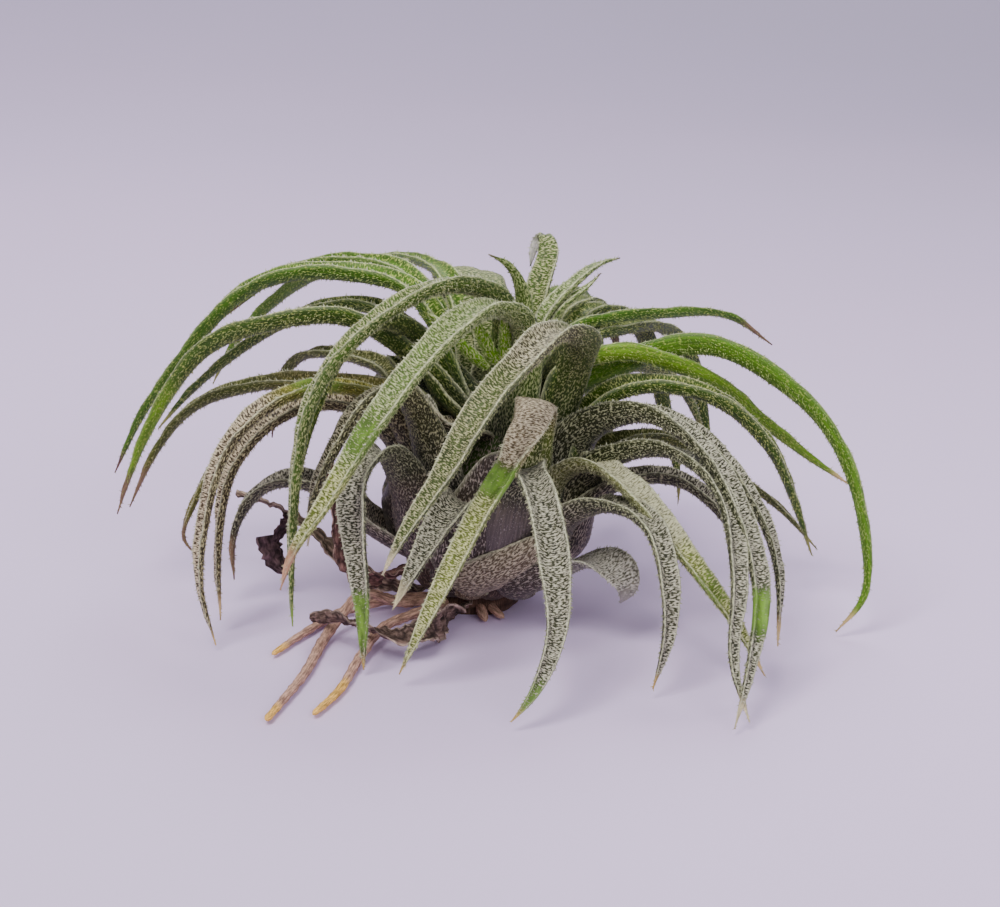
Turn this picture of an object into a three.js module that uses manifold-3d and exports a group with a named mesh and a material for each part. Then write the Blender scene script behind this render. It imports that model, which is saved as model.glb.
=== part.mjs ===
// Air plant: one rosette of narrow channelled leaves on a short stem, with its dried leaves and
// its roots. Millimetres, +Z up. The origin is the middle of the stem's flat foot. Seen from the
// front, +X is right and +Y is away.
import * as THREE from 'three';
import { mergeVertices } from 'three/addons/utils/BufferGeometryUtils.js';
import Module from 'manifold-3d';

const wasm = await Module();
wasm.setup();

// ---------------------------------------------------------------- driving dimensions

const LEAN = 0.2;                 // the rosette leans to +X by this much for each mm of height
const GAP = 0.3;                  // clear space between neighbouring pieces

const FOOT_RADIUS = 6;            // flat end of the stem, on which the plant stands
const STEM_RADIUS = 6.6;
const STEM_TOP = 3;
const BULB_SPLIT = 16;            // the old leaves' core ends here and the young leaves' starts

const RING_STEP = 7;              // mm between a leaf's cross-sections
const FEWEST_STEPS = 7;
const BLADE_FOLD = 1.45;          // half angle of the channel along the blade, radians
const SHEATH_FOLD = 0.75;         // half angle of the sheath, which wraps the bulb
const SHEATH_START = 0.6;         // a sheath starts this much narrower, inside the bulb
const SHEATH_OPENS = 12;          // and is full this many mm along the leaf
const LEAF_THICKNESS = 1.25;
const TIP_THICKNESS = 0.62;
const TIP_WIDTH = 0.9;
const BLADE_WIDENING = [1.15, 0.85]; // a blade's width at its start and near its tip, as shares
const TAPER_LATE = 3.4;           // the higher, the nearer to the tip a blade starts to narrow
const TAPER_FULL = 0.8;           // the lower, the blunter its tip

// Where a leaf leaves the stem: height of its root, then how far out and how high its sheath
// bulges, the sheath's width and its length along the leaf.
const TIERS = {
  low: { root: 5.6, bulge: [12.5, 10], sheath: 15, sheathLength: 38 },
  middle: { root: 9, bulge: [10.2, 17], sheath: 15.5, sheathLength: 36 },
  high: { root: 20, bulge: [5, 27], sheath: 10.5, sheathLength: 30 },
  heart: { root: 27, bulge: [2.6, 34], sheath: 4.6, sheathLength: 14 },
  bare: { root: 5.6, bulge: [12.5, 10], sheath: 16, sheathLength: 90 },
  base: { root: 4.2, bulge: [14.6, 8], sheath: 13, sheathLength: 34 },
};
const ROOT_REACH = 3.2;           // how far from the axis a leaf's root starts

// Each leaf: its tier, the width of its blade laid flat, and the points that its middle line
// passes after the sheath, the last one being its tip.
const OLD_LEAVES = [
  // left
  ['middle', 6.4, [-11, 0, 31], [-16, 1.5, 32], [-24, 3, 32.5], [-33, 4, 31.5], [-41, 5.5, 28],
    [-47, 7, 20.5], [-51, 7, 12]],
  ['middle', 5.4, [-12, 8, 32], [-20, 13.5, 33.5], [-26, 18, 32], [-30, 21, 26], [-31, 22, 18]],
  ['middle', 5, [-14, -2, 31], [-21, -2.5, 33], [-29, -4, 31], [-35, -5, 26], [-40, -6, 17],
    [-42, -6, 11.5], [-39.5, -6, 9]],
  ['middle', 6, [-13, -8, 33], [-20, -11, 36], [-28, -14.5, 34.5], [-34, -17, 29], [-37, -19, 20],
    [-38, -20, 10], [-36, -20, 1]],
  ['middle', 5.8, [-15, -5, 30], [-22, -7.5, 32.5], [-29, -10, 30], [-34, -12, 24], [-36, -13, 13],
    [-36, -13, 2]],
  ['low', 6.4, [-15, -6, 14], [-19, -7, 18], [-25, -5.5, 20.5], [-31, -3, 18], [-35, -2, 11], [-35, -2, 4]],
  ['middle', 6.8, [-8, -12, 32], [-11, -17, 37.5], [-15, -20, 36], [-19, -21.5, 30], [-22, -20.5, 23],
    [-23, -18, 15]],
  ['low', 7.2, [-10, -16, 25], [-13, -21, 30], [-16, -25, 27], [-16, -27, 20], [-15, -29, 11],
    [-15, -29, 1]],
  // front
  ['low', 7, [0, -13.5, 18.5], [-1.5, -17.5, 21.8], [-5, -22, 19], [-8.5, -25.5, 13.5], [-11, -27, 9]],
  ['middle', 6.4, [8.5, -12, 33.5], [8, -18, 33], [5, -25, 29], [2, -29, 25.5], [-3, -33, 17],
    [-7, -34, 9], [-10, -33, 2]],
  ['low', 7.4, [6, -17, 25], [7, -23, 27.5], [9, -29, 26], [11, -38, 18], [11, -43, 12], [8, -47, 5],
    [5, -48, 1.5]],
  ['low', 7, [12, -9, 22], [16, -13, 25.5], [23, -22, 23], [29, -29, 17], [35, -34, 10], [39, -36, 3]],
  ['low', 6.6, [12, -12, 16], [18, -18, 21], [24, -28, 21.5], [26, -34, 16], [26, -36, 9], [24, -37, 1.5]],
  ['base', 8, [3.4, -15.6, 9.4], [7.5, -15.3, 10.4], [12.5, -14, 10.6], [17.8, -15.2, 12],
    [21.5, -17, 11.2], [21.8, -18.2, 8.4], [18.6, -17.2, 6.4]],
  // right
  ['middle', 6.8, [14, -8, 27], [18, -11, 31], [25, -17, 33.5], [32, -24, 29.5], [36, -30, 23],
    [38, -37, 15], [36, -45, 7], [34, -49, 1]],
  ['low', 6.2, [15, -9, 21], [20, -13, 26.5], [27, -19, 29], [33, -28, 26.5], [35, -37, 18], [34, -44, 8],
    [36, -48, 1.5]],
  ['middle', 6.2, [16, -7, 28], [23, -8, 31.5], [31, -11, 29], [38, -15, 22], [42, -19, 13], [42, -23, 2]],
  ['middle', 7.4, [15.5, -5.6, 29], [18.5, -5.6, 33], [25, -5, 34.5], [34, -5, 32.5], [42, -4, 25],
    [46, -2, 16], [49, 0, 7]],
  ['low', 5.6, [14, 1, 19], [20, 3, 23], [27, 5, 23.5], [36, 8, 18], [45, 10, 11], [51, 11, 4]],
  ['low', 6.2, [15, -7, 17], [21, -9, 21.5], [29, -10, 22], [36, -12, 16], [41, -13, 6]],
  // back
  ['low', 6, [9, 12, 17], [14, 20, 21], [20, 30, 16], [23, 36, 4]],
  ['low', 6, [3, 14, 18], [3, 22, 23], [3, 33, 18], [2, 41, 5]],
  ['low', 6, [-7, 13, 17], [-12, 22, 22], [-18, 32, 14], [-20, 36, 3]],
  ['middle', 6, [-3, 12, 30], [-8, 21, 31], [-14, 32, 25], [-18, 40, 12]],
];

// Short sheaths of leaves that have lost their blades, low round the bulb: heading in degrees
// from +X, reach and height of the rounded end.
const BARE_SHEATHS = [
  [196, 17, 19], [217, 18.5, 26], [232, 17, 16], [264, 15, 28], [200, 14, 33], [345, 14, 18],
  [25, 15.5, 17], [80, 15, 18], [128, 15, 18], [155, 14.5, 31],
];
const BARE_SHEATH_WIDTH = 10;

const YOUNG_LEAVES = [
  // left
  ['high', 7.2, [-9, 3, 46], [-17, 5, 48], [-26, 7, 47], [-34, 10, 42.5], [-43, 12, 32.5], [-49.5, 13, 24],
    [-54, 14, 15]],
  ['high', 7.6, [-14, -3, 42], [-20, -3, 44], [-28, -3, 43], [-38, -2, 39], [-46, 0, 28], [-50, 1, 19],
    [-52, 1, 13]],
  ['high', 6, [-11, 12, 46], [-18, 17, 46.5], [-26, 24, 42], [-33, 29, 35.5], [-38, 32, 29],
    [-41, 34, 23]],
  ['high', 6.6, [-14, 8, 42], [-20, 10, 42], [-29, 14, 38], [-38, 17, 31], [-44, 19, 25], [-48, 20, 20]],
  ['high', 5.4, [-3, 8, 45], [-8, 20, 46], [-14, 31, 44], [-20, 39, 41]],
  ['high', 5.8, [-9, 10, 46.5], [-17, 16, 48], [-28, 22, 45], [-40, 27, 35]],
  // front
  ['high', 6.6, [4, -4, 45], [-3, -13, 51], [-10, -18, 49.5], [-18, -22, 43.5], [-22, -24, 37],
    [-24, -24, 27], [-25, -24, 11], [-25, -23, 5]],
  ['high', 7.6, [7, -7, 43], [2, -15, 49], [-3, -21, 47], [-9, -26, 41], [-15, -29, 33], [-20, -31, 25],
    [-24, -31, 19], [-26, -30, 13]],
  ['high', 7.8, [13, -6, 37], [15, -12, 44.5], [11, -18, 47], [6, -25, 43.5], [1, -30, 38],
    [-4, -33, 30], [-9, -35, 23], [-12, -35, 17]],
  // right
  ['high', 5.2, [13, 2, 40], [20, 5, 41.5], [28, 9, 41], [37, 14, 39.5], [44, 17, 34]],
  ['high', 5.8, [15, 4, 38.5], [21, 8, 39], [27, 17, 37], [32, 26, 30], [35, 31, 19], [37, 33, 8]],
  ['high', 5.8, [15, 7, 41], [20, 14, 40], [25, 24, 34], [29, 33, 19], [32, 38, 5], [32, 39, 1.5]],
  ['high', 7.2, [14, 0.7, 31.8], [20, -0.7, 35.3], [27, -2, 38.6], [34, -3.5, 39.5], [42, -6, 36],
    [49, -8, 30], [53, -10, 23], [55, -12, 14], [55, -14, 6], [51, -15, 1]],
  ['high', 6.4, [12.5, -4, 36], [18, -5.5, 38.8], [22, -5, 39.2], [25.5, -3.5, 37.8], [34, 0, 33.5],
    [41, 3, 27], [48, 4.5, 21], [55, 5, 16]],
  ['high', 5.4, [12.5, 5, 31], [18, 7.5, 33], [25, 14, 31.5], [31, 21, 26], [35, 26, 17]],
  // back
  ['high', 5.8, [0, 4, 40], [-0.5, 9, 44], [-1.5, 14, 46], [-4, 24, 42], [-5, 33, 32], [-6, 38, 22]],
  ['high', 5.8, [4, 4, 41], [2.5, 8, 44.5], [2, 14, 45.5], [1, 25, 41], [1, 34, 33], [0, 39, 24]],
  ['high', 5.4, [11, 4, 41], [14, 10, 42], [17, 16, 41], [20, 23, 36], [22, 29, 28]],
  ['high', 5.8, [10, 8, 40], [13, 17, 42], [17, 29, 36], [19, 38, 22], [20, 41, 10]],
  ['high', 5.8, [5, 9, 38], [6, 20, 40], [7, 31, 33], [7, 39, 18], [7, 41, 6]],
  // heart
  ['heart', 3.2, [7, -3, 44], [6, -5, 50], [4, -7, 53], [2, -8, 54]],
  ['heart', 4.6, [8, 4, 42], [9, 6, 47], [10, 9, 51], [10, 11, 52.5], [9, 12, 51], [8, 13, 47]],
  ['heart', 3.2, [9, -1, 42], [11, 0, 45], [14, 3, 47], [18, 9, 48.5], [21, 12, 48.5]],
  ['heart', 2.6, [11, 0, 43], [14, 1, 45.5], [16, 3, 46.5], [18, 5, 48]],
];

// Dried leaves, shrivelled to twisted straps: width, turns of twist, middle line.
const DRIED_LEAVES = [
  [3.8, 0.3, [-9.6, -8.2, 8.4], [-15.5, -11.8, 7.8], [-18, -12.3, 11], [-18.8, -12.5, 17],
    [-20.6, -12.5, 26]],
  [3, 0.6, [-6.9, 1.2, 1.6], [-12, 1.4, 2], [-18, 1, 5], [-23, 1, 9.6], [-28, 2, 13.4], [-35, 4, 15.2]],
  [4.4, 0.7, [-2.1, -6.9, 1.4], [-4, -12, 2.2], [-6, -19, 3], [-10, -24, 3.6], [-15, -22, 4.4],
    [-20, -18, 4.4], [-23, -15.5, 3.2]],
];

// Roots: radius, then the middle line from inside the stem to the tip. They lie on the surface.
const ROOTS = [
  [0.8, [-5, -2.6, 1.4], [-11, -6.5, 2.2], [-16, -10, 5], [-19, -13, 2.6], [-21, -17.5, 1.1],
    [-23, -30, 0.9], [-27, -46, 0.9]],
  [0.75, [-4, -4.4, 1.4], [-9, -11, 2], [-13, -16, 2], [-16, -26, 1], [-18, -36, 0.85], [-21, -44, 0.85]],
  [0.7, [-5, -1.4, 1.4], [-12, -3.4, 1.4], [-19, -7, 1], [-24, -15, 0.85], [-28, -23, 0.8]],
  [0.8, [0.6, -5, 1.3], [1, -7.8, 1.1], [1.6, -10.4, 0.85]],
  [0.7, [2, -5, 1.4], [2.8, -7.2, 1.1], [4.2, -9, 0.75]],
];
const STEM_SIDES = 20;
const ROOT_SIDES = 8;
const ROOT_STEP = 3;              // mm between a root's cross-sections
const ROOT_END = 0.6;             // a root's radius at its tip, as a share of its full radius
const STRAP_STEP = 3;             // mm between a dried leaf's cross-sections
const STRAP_END = 0.4;            // a dried leaf's width at its tip, as a share of its full width
const STRAP_HALF_THICKNESS = [0.5, 0.4]; // at its start and at its tip
const STRAP_START_TURN = 0.5;     // radians that its start is turned from level

// The bulb's solid middle, as [height, radius] from below: the old leaves' part and the young's.
const OLD_CORE = [[STEM_TOP + GAP, 8], [6, 10.5], [12, 10.5], [BULB_SPLIT, 9]];
const YOUNG_CORE = [[BULB_SPLIT + GAP, 5], [20, 6], [30, 4.6], [38, 2]];
const CORE_SIDES = 12;

// ---------------------------------------------------------------- geometry helpers

const smoothstep = (x) => {
  const t = Math.min(Math.max(x, 0), 1);
  return t * t * (3 - 2 * t);
};
const mix = (a, b, t) => a + (b - a) * t;

/** The rosette's axis at a height. */
const axisAt = (z) => new THREE.Vector3(LEAN * z, 0, z);

/** Closed body through rings of equally many points, listed counter-clockwise seen from the end. */
function loft(rings) {
  const count = rings[0].length;
  const points = rings.flat();
  const first = points.push(centreOf(rings[0])) - 1;
  const last = points.push(centreOf(rings[rings.length - 1])) - 1;
  const faces = [];
  for (let j = 0; j < count; j += 1) {
    const next = (j + 1) % count;
    faces.push(first, next, j);
    for (let i = 0; i < rings.length - 1; i += 1) {
      const low = i * count;
      const high = low + count;
      faces.push(low + j, low + next, high + next, low + j, high + next, high + j);
    }
    const top = (rings.length - 1) * count;
    faces.push(last, top + j, top + next);
  }
  const geometry = new THREE.BufferGeometry();
  const coordinates = points.flatMap((p) => p.toArray());
  geometry.setAttribute('position', new THREE.Float32BufferAttribute(coordinates, 3));
  geometry.setIndex(faces);
  return geometry;
}

function centreOf(ring) {
  const sum = new THREE.Vector3();
  ring.forEach((p) => sum.add(p));
  return sum.divideScalar(ring.length);
}

const smoothCurve = (points) => new THREE.CatmullRomCurve3(points, false, 'centripetal');
const toVector = (p) => new THREE.Vector3(...p);

/** The corners of a regular polygon, as (across, up) pairs. */
function circle(radius, sides) {
  const corners = [];
  for (let k = 0; k < sides; k += 1) {
    const angle = (k / sides) * 2 * Math.PI;
    corners.push([radius * Math.cos(angle), radius * Math.sin(angle)]);
  }
  return corners;
}

/** The points of one ring, from (across, up) pairs in the plane of two directions. */
function ringAt(centre, across, up, section) {
  return section.map(([x, y]) => centre.clone().addScaledVector(across, x).addScaledVector(up, y));
}

function toSolid(geometry) {
  geometry.deleteAttribute('normal');
  geometry.deleteAttribute('uv');
  const merged = mergeVertices(geometry);
  const mesh = new wasm.Mesh({
    numProp: 3,
    vertProperties: new Float32Array(merged.attributes.position.array),
    triVerts: new Uint32Array(merged.index.array),
  });
  return new wasm.Manifold(mesh);
}

function toGeometry(solid) {
  const mesh = solid.getMesh();
  const geometry = new THREE.BufferGeometry();
  geometry.setAttribute('position', new THREE.BufferAttribute(new Float32Array(mesh.vertProperties), 3));
  geometry.setIndex(new THREE.BufferAttribute(new Uint32Array(mesh.triVerts), 1));
  return geometry;
}

/** A row of solids joined pair by pair into one body, with any hollow sealed inside it filled. */
function fuse(solids) {
  let level = solids;
  while (level.length > 1) {
    const joined = [];
    for (let i = 0; i < level.length; i += 2) {
      joined.push(i + 1 < level.length ? level[i].add(level[i + 1]) : level[i]);
    }
    level = joined;
  }
  const shells = level[0].decompose();
  return shells.reduce((largest, shell) => (shell.volume() > largest.volume() ? shell : largest));
}

// ---------------------------------------------------------------- leaves

/** Channel section: an arc with raised edges below, and two points one thickness above it. The
 * middle line runs half way up the channel. */
function channelSection(width, fold, thickness) {
  const radius = width / 2 / fold;
  const middle = (radius * (1 - Math.cos(fold))) / 2;
  const onArc = (angle, lift) => [radius * Math.sin(angle), radius * (1 - Math.cos(angle)) + lift - middle];
  return [
    onArc(-fold, 0), onArc(-fold / 3, 0), onArc(fold / 3, 0), onArc(fold, 0),
    onArc(fold / 2, thickness), onArc(-fold / 2, thickness),
  ];
}

/** A leaf's middle line: out of the stem, round the bulb, then through its own points. */
function leafSpine(tier, points) {
  const outer = toVector(points[0]);
  const heading = outer.clone().sub(axisAt(outer.z)).setZ(0).normalize();
  const root = axisAt(tier.root).addScaledVector(heading, ROOT_REACH);
  const bulge = axisAt(tier.bulge[1]).addScaledVector(heading, tier.bulge[0]);
  return smoothCurve([root, bulge, ...points.map(toVector)]);
}

/** One leaf: a broad sheath that narrows into a channelled blade and a fine tip. */
function leafSolid([tierName, bladeWidth, ...points]) {
  const tier = TIERS[tierName];
  const spine = leafSpine(tier, points);
  const length = spine.getLength();
  const chord = spine.getPointAt(1).sub(spine.getPointAt(0)).setZ(0).normalize();
  const side = new THREE.Vector3(-chord.y, chord.x, 0);
  const steps = Math.max(Math.round(length / RING_STEP), FEWEST_STEPS);
  const rings = [];
  for (let i = 0; i <= steps; i += 1) {
    const s = i / steps;
    const sheath = 1 - smoothstep((s * length) / tier.sheathLength);
    const taper = (1 - s ** TAPER_LATE) ** TAPER_FULL;
    const blade = bladeWidth * mix(...BLADE_WIDENING, s);
    const wrap = tier.sheath * mix(SHEATH_START, 1, smoothstep((s * length) / SHEATH_OPENS));
    const width = Math.max(mix(blade, wrap, sheath) * taper, TIP_WIDTH);
    const fold = mix(BLADE_FOLD, SHEATH_FOLD, sheath);
    const thickness = mix(LEAF_THICKNESS, TIP_THICKNESS, s ** 2);
    const along = spine.getTangentAt(s);
    const across = side.clone().addScaledVector(along, -side.dot(along)).normalize();
    const up = along.clone().cross(across);
    rings.push(ringAt(spine.getPointAt(s), across, up, channelSection(width, fold, thickness)));
  }
  return toSolid(loft(rings));
}

/** A part of the bulb's solid middle, which the leaves stand out of. */
function coreSolid(levels) {
  const [xAxis, yAxis] = [new THREE.Vector3(1, 0, 0), new THREE.Vector3(0, 1, 0)];
  const ring = ([z, radius]) => ringAt(axisAt(z), xAxis, yAxis, circle(radius, CORE_SIDES));
  return toSolid(loft(levels.map(ring)));
}

/** A low sheath with no blade, cut off round at its end. */
function bareSheath([degrees, reach, height]) {
  const heading = (degrees / 180) * Math.PI;
  const outward = new THREE.Vector3(Math.cos(heading), Math.sin(heading), 0);
  const end = axisAt(height).addScaledVector(outward, reach);
  return leafSolid(['bare', BARE_SHEATH_WIDTH, end.toArray()]);
}

function oldLeaves() {
  const leaves = [...OLD_LEAVES.map(leafSolid), ...BARE_SHEATHS.map(bareSheath)];
  return toGeometry(fuse([coreSolid(OLD_CORE), ...leaves]));
}

function youngLeaves() {
  return toGeometry(fuse([coreSolid(YOUNG_CORE), ...YOUNG_LEAVES.map(leafSolid)]));
}

// ---------------------------------------------------------------- stem, dried leaves, roots

/** The short stem, flat at its foot, with the roots that grow from its side. */
function stemAndRoots() {
  const profile = [[0, 0], [FOOT_RADIUS, 0], [STEM_RADIUS, 1], [FOOT_RADIUS, STEM_TOP], [0, STEM_TOP]];
  const stem = new THREE.LatheGeometry(profile.map(([x, y]) => new THREE.Vector2(x, y)), STEM_SIDES);
  return toGeometry(fuse([toSolid(stem.rotateX(Math.PI / 2)), ...ROOTS.map(rootSolid)]));
}

/** A strap that narrows to both ends and twists along its line. */
function driedLeaf([width, twist, ...points]) {
  const spine = smoothCurve(points.map(toVector));
  const steps = Math.round(spine.getLength() / STRAP_STEP);
  const rings = [];
  for (let i = 0; i <= steps; i += 1) {
    const s = i / steps;
    const along = spine.getTangentAt(s);
    const level = new THREE.Vector3(0, 0, 1).cross(along).normalize();
    const across = level.applyAxisAngle(along, STRAP_START_TURN + twist * s * 2 * Math.PI);
    const up = along.clone().cross(across);
    const half = (width / 2) * mix(1, STRAP_END, s ** 2);
    const thick = mix(...STRAP_HALF_THICKNESS, s);
    rings.push(ringAt(spine.getPointAt(s), across, up, [[-half, 0], [0, -thick], [half, 0], [0, thick]]));
  }
  return toGeometry(toSolid(loft(rings)));
}

/** A round root that narrows a little towards its tip. */
function rootSolid([radius, ...points]) {
  const spine = smoothCurve(points.map(toVector));
  const steps = Math.round(spine.getLength() / ROOT_STEP);
  const rings = [];
  for (let i = 0; i <= steps; i += 1) {
    const s = i / steps;
    const along = spine.getTangentAt(s);
    const across = new THREE.Vector3(0, 0, 1).cross(along).normalize();
    const up = along.clone().cross(across);
    const size = radius * mix(1, ROOT_END, s ** 3);
    rings.push(ringAt(spine.getPointAt(s), across, up, circle(size, ROOT_SIDES)));
  }
  return toSolid(loft(rings));
}

// ---------------------------------------------------------------- the plant

const MATERIALS = {
  old: new THREE.MeshStandardMaterial({ color: 0x8b9389, roughness: 0.8, metalness: 0 }),
  young: new THREE.MeshStandardMaterial({ color: 0x7f9c63, roughness: 0.7, metalness: 0 }),
  dried: new THREE.MeshStandardMaterial({ color: 0x5a463c, roughness: 0.95, metalness: 0 }),
  root: new THREE.MeshStandardMaterial({ color: 0xa98a5e, roughness: 0.85, metalness: 0 }),
};

const plant = new THREE.Group();

function add(name, geometry, material) {
  const mesh = new THREE.Mesh(geometry, material);
  mesh.name = name;
  plant.add(mesh);
}

add('stem_and_roots', stemAndRoots(), MATERIALS.root);
add('old_leaves', oldLeaves(), MATERIALS.old);
add('young_leaves', youngLeaves(), MATERIALS.young);
DRIED_LEAVES.forEach((leaf, i) => add(`dried_leaf_${i + 1}`, driedLeaf(leaf), MATERIALS.dried));

export default plant;
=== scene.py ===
"""Air plant: a rosette of scaly channelled leaves on a short stem, with dried leaves and roots.

Lengths in the tables are millimetres in the plant's own frame: the origin is the middle of the
stem's foot, +Z is up, and the rosette leans to +X. Meshes are made in metres.
"""
import math
from typing import NamedTuple

import bpy
import numpy as np
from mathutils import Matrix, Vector


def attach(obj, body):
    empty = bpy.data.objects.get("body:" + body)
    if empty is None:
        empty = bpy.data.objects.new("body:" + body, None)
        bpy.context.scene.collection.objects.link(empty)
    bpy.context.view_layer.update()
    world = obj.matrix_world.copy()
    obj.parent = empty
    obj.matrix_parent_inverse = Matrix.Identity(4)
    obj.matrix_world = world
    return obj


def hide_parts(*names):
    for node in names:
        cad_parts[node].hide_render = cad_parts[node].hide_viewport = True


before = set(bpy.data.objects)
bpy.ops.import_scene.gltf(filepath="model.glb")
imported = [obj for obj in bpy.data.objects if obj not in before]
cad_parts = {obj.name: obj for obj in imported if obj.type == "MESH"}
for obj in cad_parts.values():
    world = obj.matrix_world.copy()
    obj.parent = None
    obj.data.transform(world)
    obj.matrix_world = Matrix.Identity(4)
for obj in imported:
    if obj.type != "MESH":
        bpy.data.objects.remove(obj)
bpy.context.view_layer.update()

MM = 0.001

# ---------------------------------------------------------------- the plant's sizes, in mm

LEAN = 0.2                # the rosette leans to +X by this much for each mm of height
ROOT_REACH = 3.2          # how far from the axis a leaf's root starts
BLADE_FOLD = 1.45         # half angle of the channel along the blade, radians
SHEATH_FOLD = 0.75        # half angle of the sheath, which wraps the bulb
SHEATH_START = 0.6        # a sheath starts at this share of its width, inside the bulb
SHEATH_OPENS = 12         # and is full this many mm along the leaf
LEAF_THICKNESS = 1.2
TIP_THICKNESS = 0.5
TIP_WIDTH = 0.35
BLADE_WIDENING = (1.15, 1.0)  # a blade's width at its start and near its tip, as shares
TAPER_LATE = 4.2          # the higher, the nearer to the tip a blade starts to narrow
TAPER_FULL = 0.8          # the lower, the blunter its tip
BLUNT_TAPER = 0.6         # of a sheath that has lost its blade
# A leaf that is narrower than about this is thinner too, down to this share.
NARROW_WIDTH, NARROW_THICKNESS = 2.4, 0.25

# How far a leaf wanders at random: shares of its width and of its fold, its twist in radians,
# and mm up and down its edges.
WIDTH_WANDER = 0.04
FOLD_WANDER = 0.1
TWIST_WANDER = 0.12
FRILL = 0.12
FRILL_LENGTHS = (9, 7)    # mm of leaf for each run of the waves, on one edge and the other

# Where a leaf leaves the stem: height of its root, how far out and how high its sheath bulges,
# the sheath's width and its length along the leaf.
TIERS = {
    "low": dict(root=5.6, bulge=(12.5, 10), sheath=15, sheath_length=38),
    "middle": dict(root=9, bulge=(10.2, 17), sheath=15.5, sheath_length=36),
    "high": dict(root=20, bulge=(5, 27), sheath=10.5, sheath_length=30),
    "heart": dict(root=27, bulge=(2.6, 34), sheath=4.6, sheath_length=14),
    "bare": dict(root=5.6, bulge=(12.5, 10), sheath=16, sheath_length=90),
    "base": dict(root=4.2, bulge=(12.2, 6), sheath=10, sheath_length=30),
    "wrap": dict(root=4, bulge=(9.6, 6), sheath=10, sheath_length=90),
    "inner": dict(root=18, bulge=(5, 26), sheath=8, sheath_length=90),
    "husk": dict(root=2.6, bulge=(9.4, 4.4), sheath=9, sheath_length=90),
}

# Leaves: tier, width of the blade laid flat, look, look of the tip, then the points that the
# middle line passes after the sheath, the last one being the tip.
OLD_LEAVES = [
    # left
    ("middle", 6.4, "tawny", "brown", (-11, 0, 31), (-16, 1.5, 32), (-24, 3, 32.5), (-33, 4, 31.5),
     (-41, 5.5, 28), (-47, 7, 20.5), (-51, 7, 12)),
    ("middle", 5.4, "olive", "umber", (-12, 8, 32), (-20, 13.5, 33.5), (-26, 18, 32), (-30, 21, 26),
     (-31, 22, 18)),
    ("middle", 5, "tawny", "brown", (-14, -2, 31), (-21, -2.5, 33), (-29, -4, 31), (-35, -5, 26),
     (-40, -6, 17), (-42, -6, 11.5), (-39.5, -6, 9)),
    ("middle", 6, "straw", "amber", (-13, -8, 33), (-20, -11, 36), (-28, -14.5, 34.5),
     (-34, -17, 29), (-37, -19, 20), (-38, -20, 10), (-36, -20, 1)),
    ("middle", 5.8, "straw", "tan", (-15, -5, 30), (-22, -7.5, 32.5), (-29, -10, 30), (-34, -12, 24),
     (-36, -13, 13), (-36, -13, 2)),
    ("low", 6.4, "grey", "brown", (-15, -6, 14), (-19, -7, 18), (-25, -5.5, 20.5), (-31, -3, 18),
     (-35, -2, 11), (-35, -2, 4)),
    ("middle", 6.8, "woolly", "cream", (-8, -12, 32), (-11, -17, 37.5), (-15, -20, 36),
     (-19, -21.5, 30), (-22, -20.5, 23), (-23, -18, 15)),
    ("low", 7.2, "dotted", "amber", (-10, -16, 25), (-13, -21, 30), (-16, -25, 27), (-16, -27, 20),
     (-15, -29, 11), (-15, -29, 1)),
    # front
    ("low", 7, "dotted", "cream", (0, -13.5, 18.5), (-1.5, -17.5, 21.8), (-5, -22, 19),
     (-8.5, -25.5, 13.5), (-11, -27, 9)),
    ("middle", 6.4, "lime", "amber", (8.5, -12, 33.5), (8, -18, 33), (5, -25, 29), (2, -29, 25.5),
     (-3, -33, 17), (-7, -34, 9), (-10, -33, 2)),
    ("low", 7.4, "dotted", "amber", (6, -17, 25), (7, -23, 27.5), (9, -29, 26), (11, -38, 18),
     (11, -43, 12), (8, -47, 5), (5, -48, 1.5)),
    ("low", 7, "pale", "tan", (12, -9, 22), (16, -13, 25.5), (23, -22, 23), (29, -29, 17),
     (35, -34, 10), (39, -36, 3)),
    ("low", 6.6, "dotted", "amber", (12, -12, 16), (18, -18, 21), (24, -28, 21.5), (26, -34, 16),
     (26, -36, 9), (24, -37, 1.5)),
    ("base", 9, "ashen", "grey", (5.4, -13.4, 7), (9.2, -14, 8.4), (13.4, -14, 10.2),
     (17.2, -15, 11.8), (20.2, -17.4, 11.4), (21.6, -19, 9), (20.4, -18, 6.6)),
    # right
    ("middle", 6.8, "dotted", "cream", (14, -8, 27), (18, -11, 31), (25, -17, 33.5),
     (32, -24, 29.5), (36, -30, 23), (38, -37, 15), (36, -45, 7), (34, -49, 1)),
    ("low", 6.2, "dotted", "cream", (15, -9, 21), (20, -13, 26.5), (27, -19, 29), (33, -28, 26.5),
     (35, -37, 18), (34, -44, 8), (36, -48, 1.5)),
    ("middle", 6.2, "dotted", "tan", (16, -7, 28), (23, -8, 31.5), (31, -11, 29), (38, -15, 22),
     (42, -19, 13), (42, -23, 2)),
    ("middle", 7.4, "leafy", "olive", (15.5, -5.6, 29), (18.5, -5.6, 33), (25, -5, 34.5),
     (34, -5, 32.5), (42, -4, 25), (46, -2, 16), (49, 0, 7)),
    ("low", 5.6, "olive", "olive", (14, 1, 19), (20, 3, 23), (27, 5, 23.5), (36, 8, 18),
     (45, 10, 11), (51, 11, 4)),
    ("low", 6.2, "grey", "tan", (15, -7, 17), (21, -9, 21.5), (29, -10, 22), (36, -12, 16),
     (41, -13, 6)),
    # back
    ("low", 6, "olive", "brown", (9, 12, 17), (14, 20, 21), (20, 30, 16), (23, 36, 4)),
    ("low", 6, "dotted", "tan", (3, 14, 18), (3, 22, 23), (3, 33, 18), (2, 41, 5)),
    ("low", 6, "grey", "brown", (-7, 13, 17), (-12, 22, 22), (-18, 32, 14), (-20, 36, 3)),
    ("middle", 6, "olive", "tan", (-3, 12, 30), (-8, 21, 31), (-14, 32, 25), (-18, 40, 12)),
]

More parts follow.
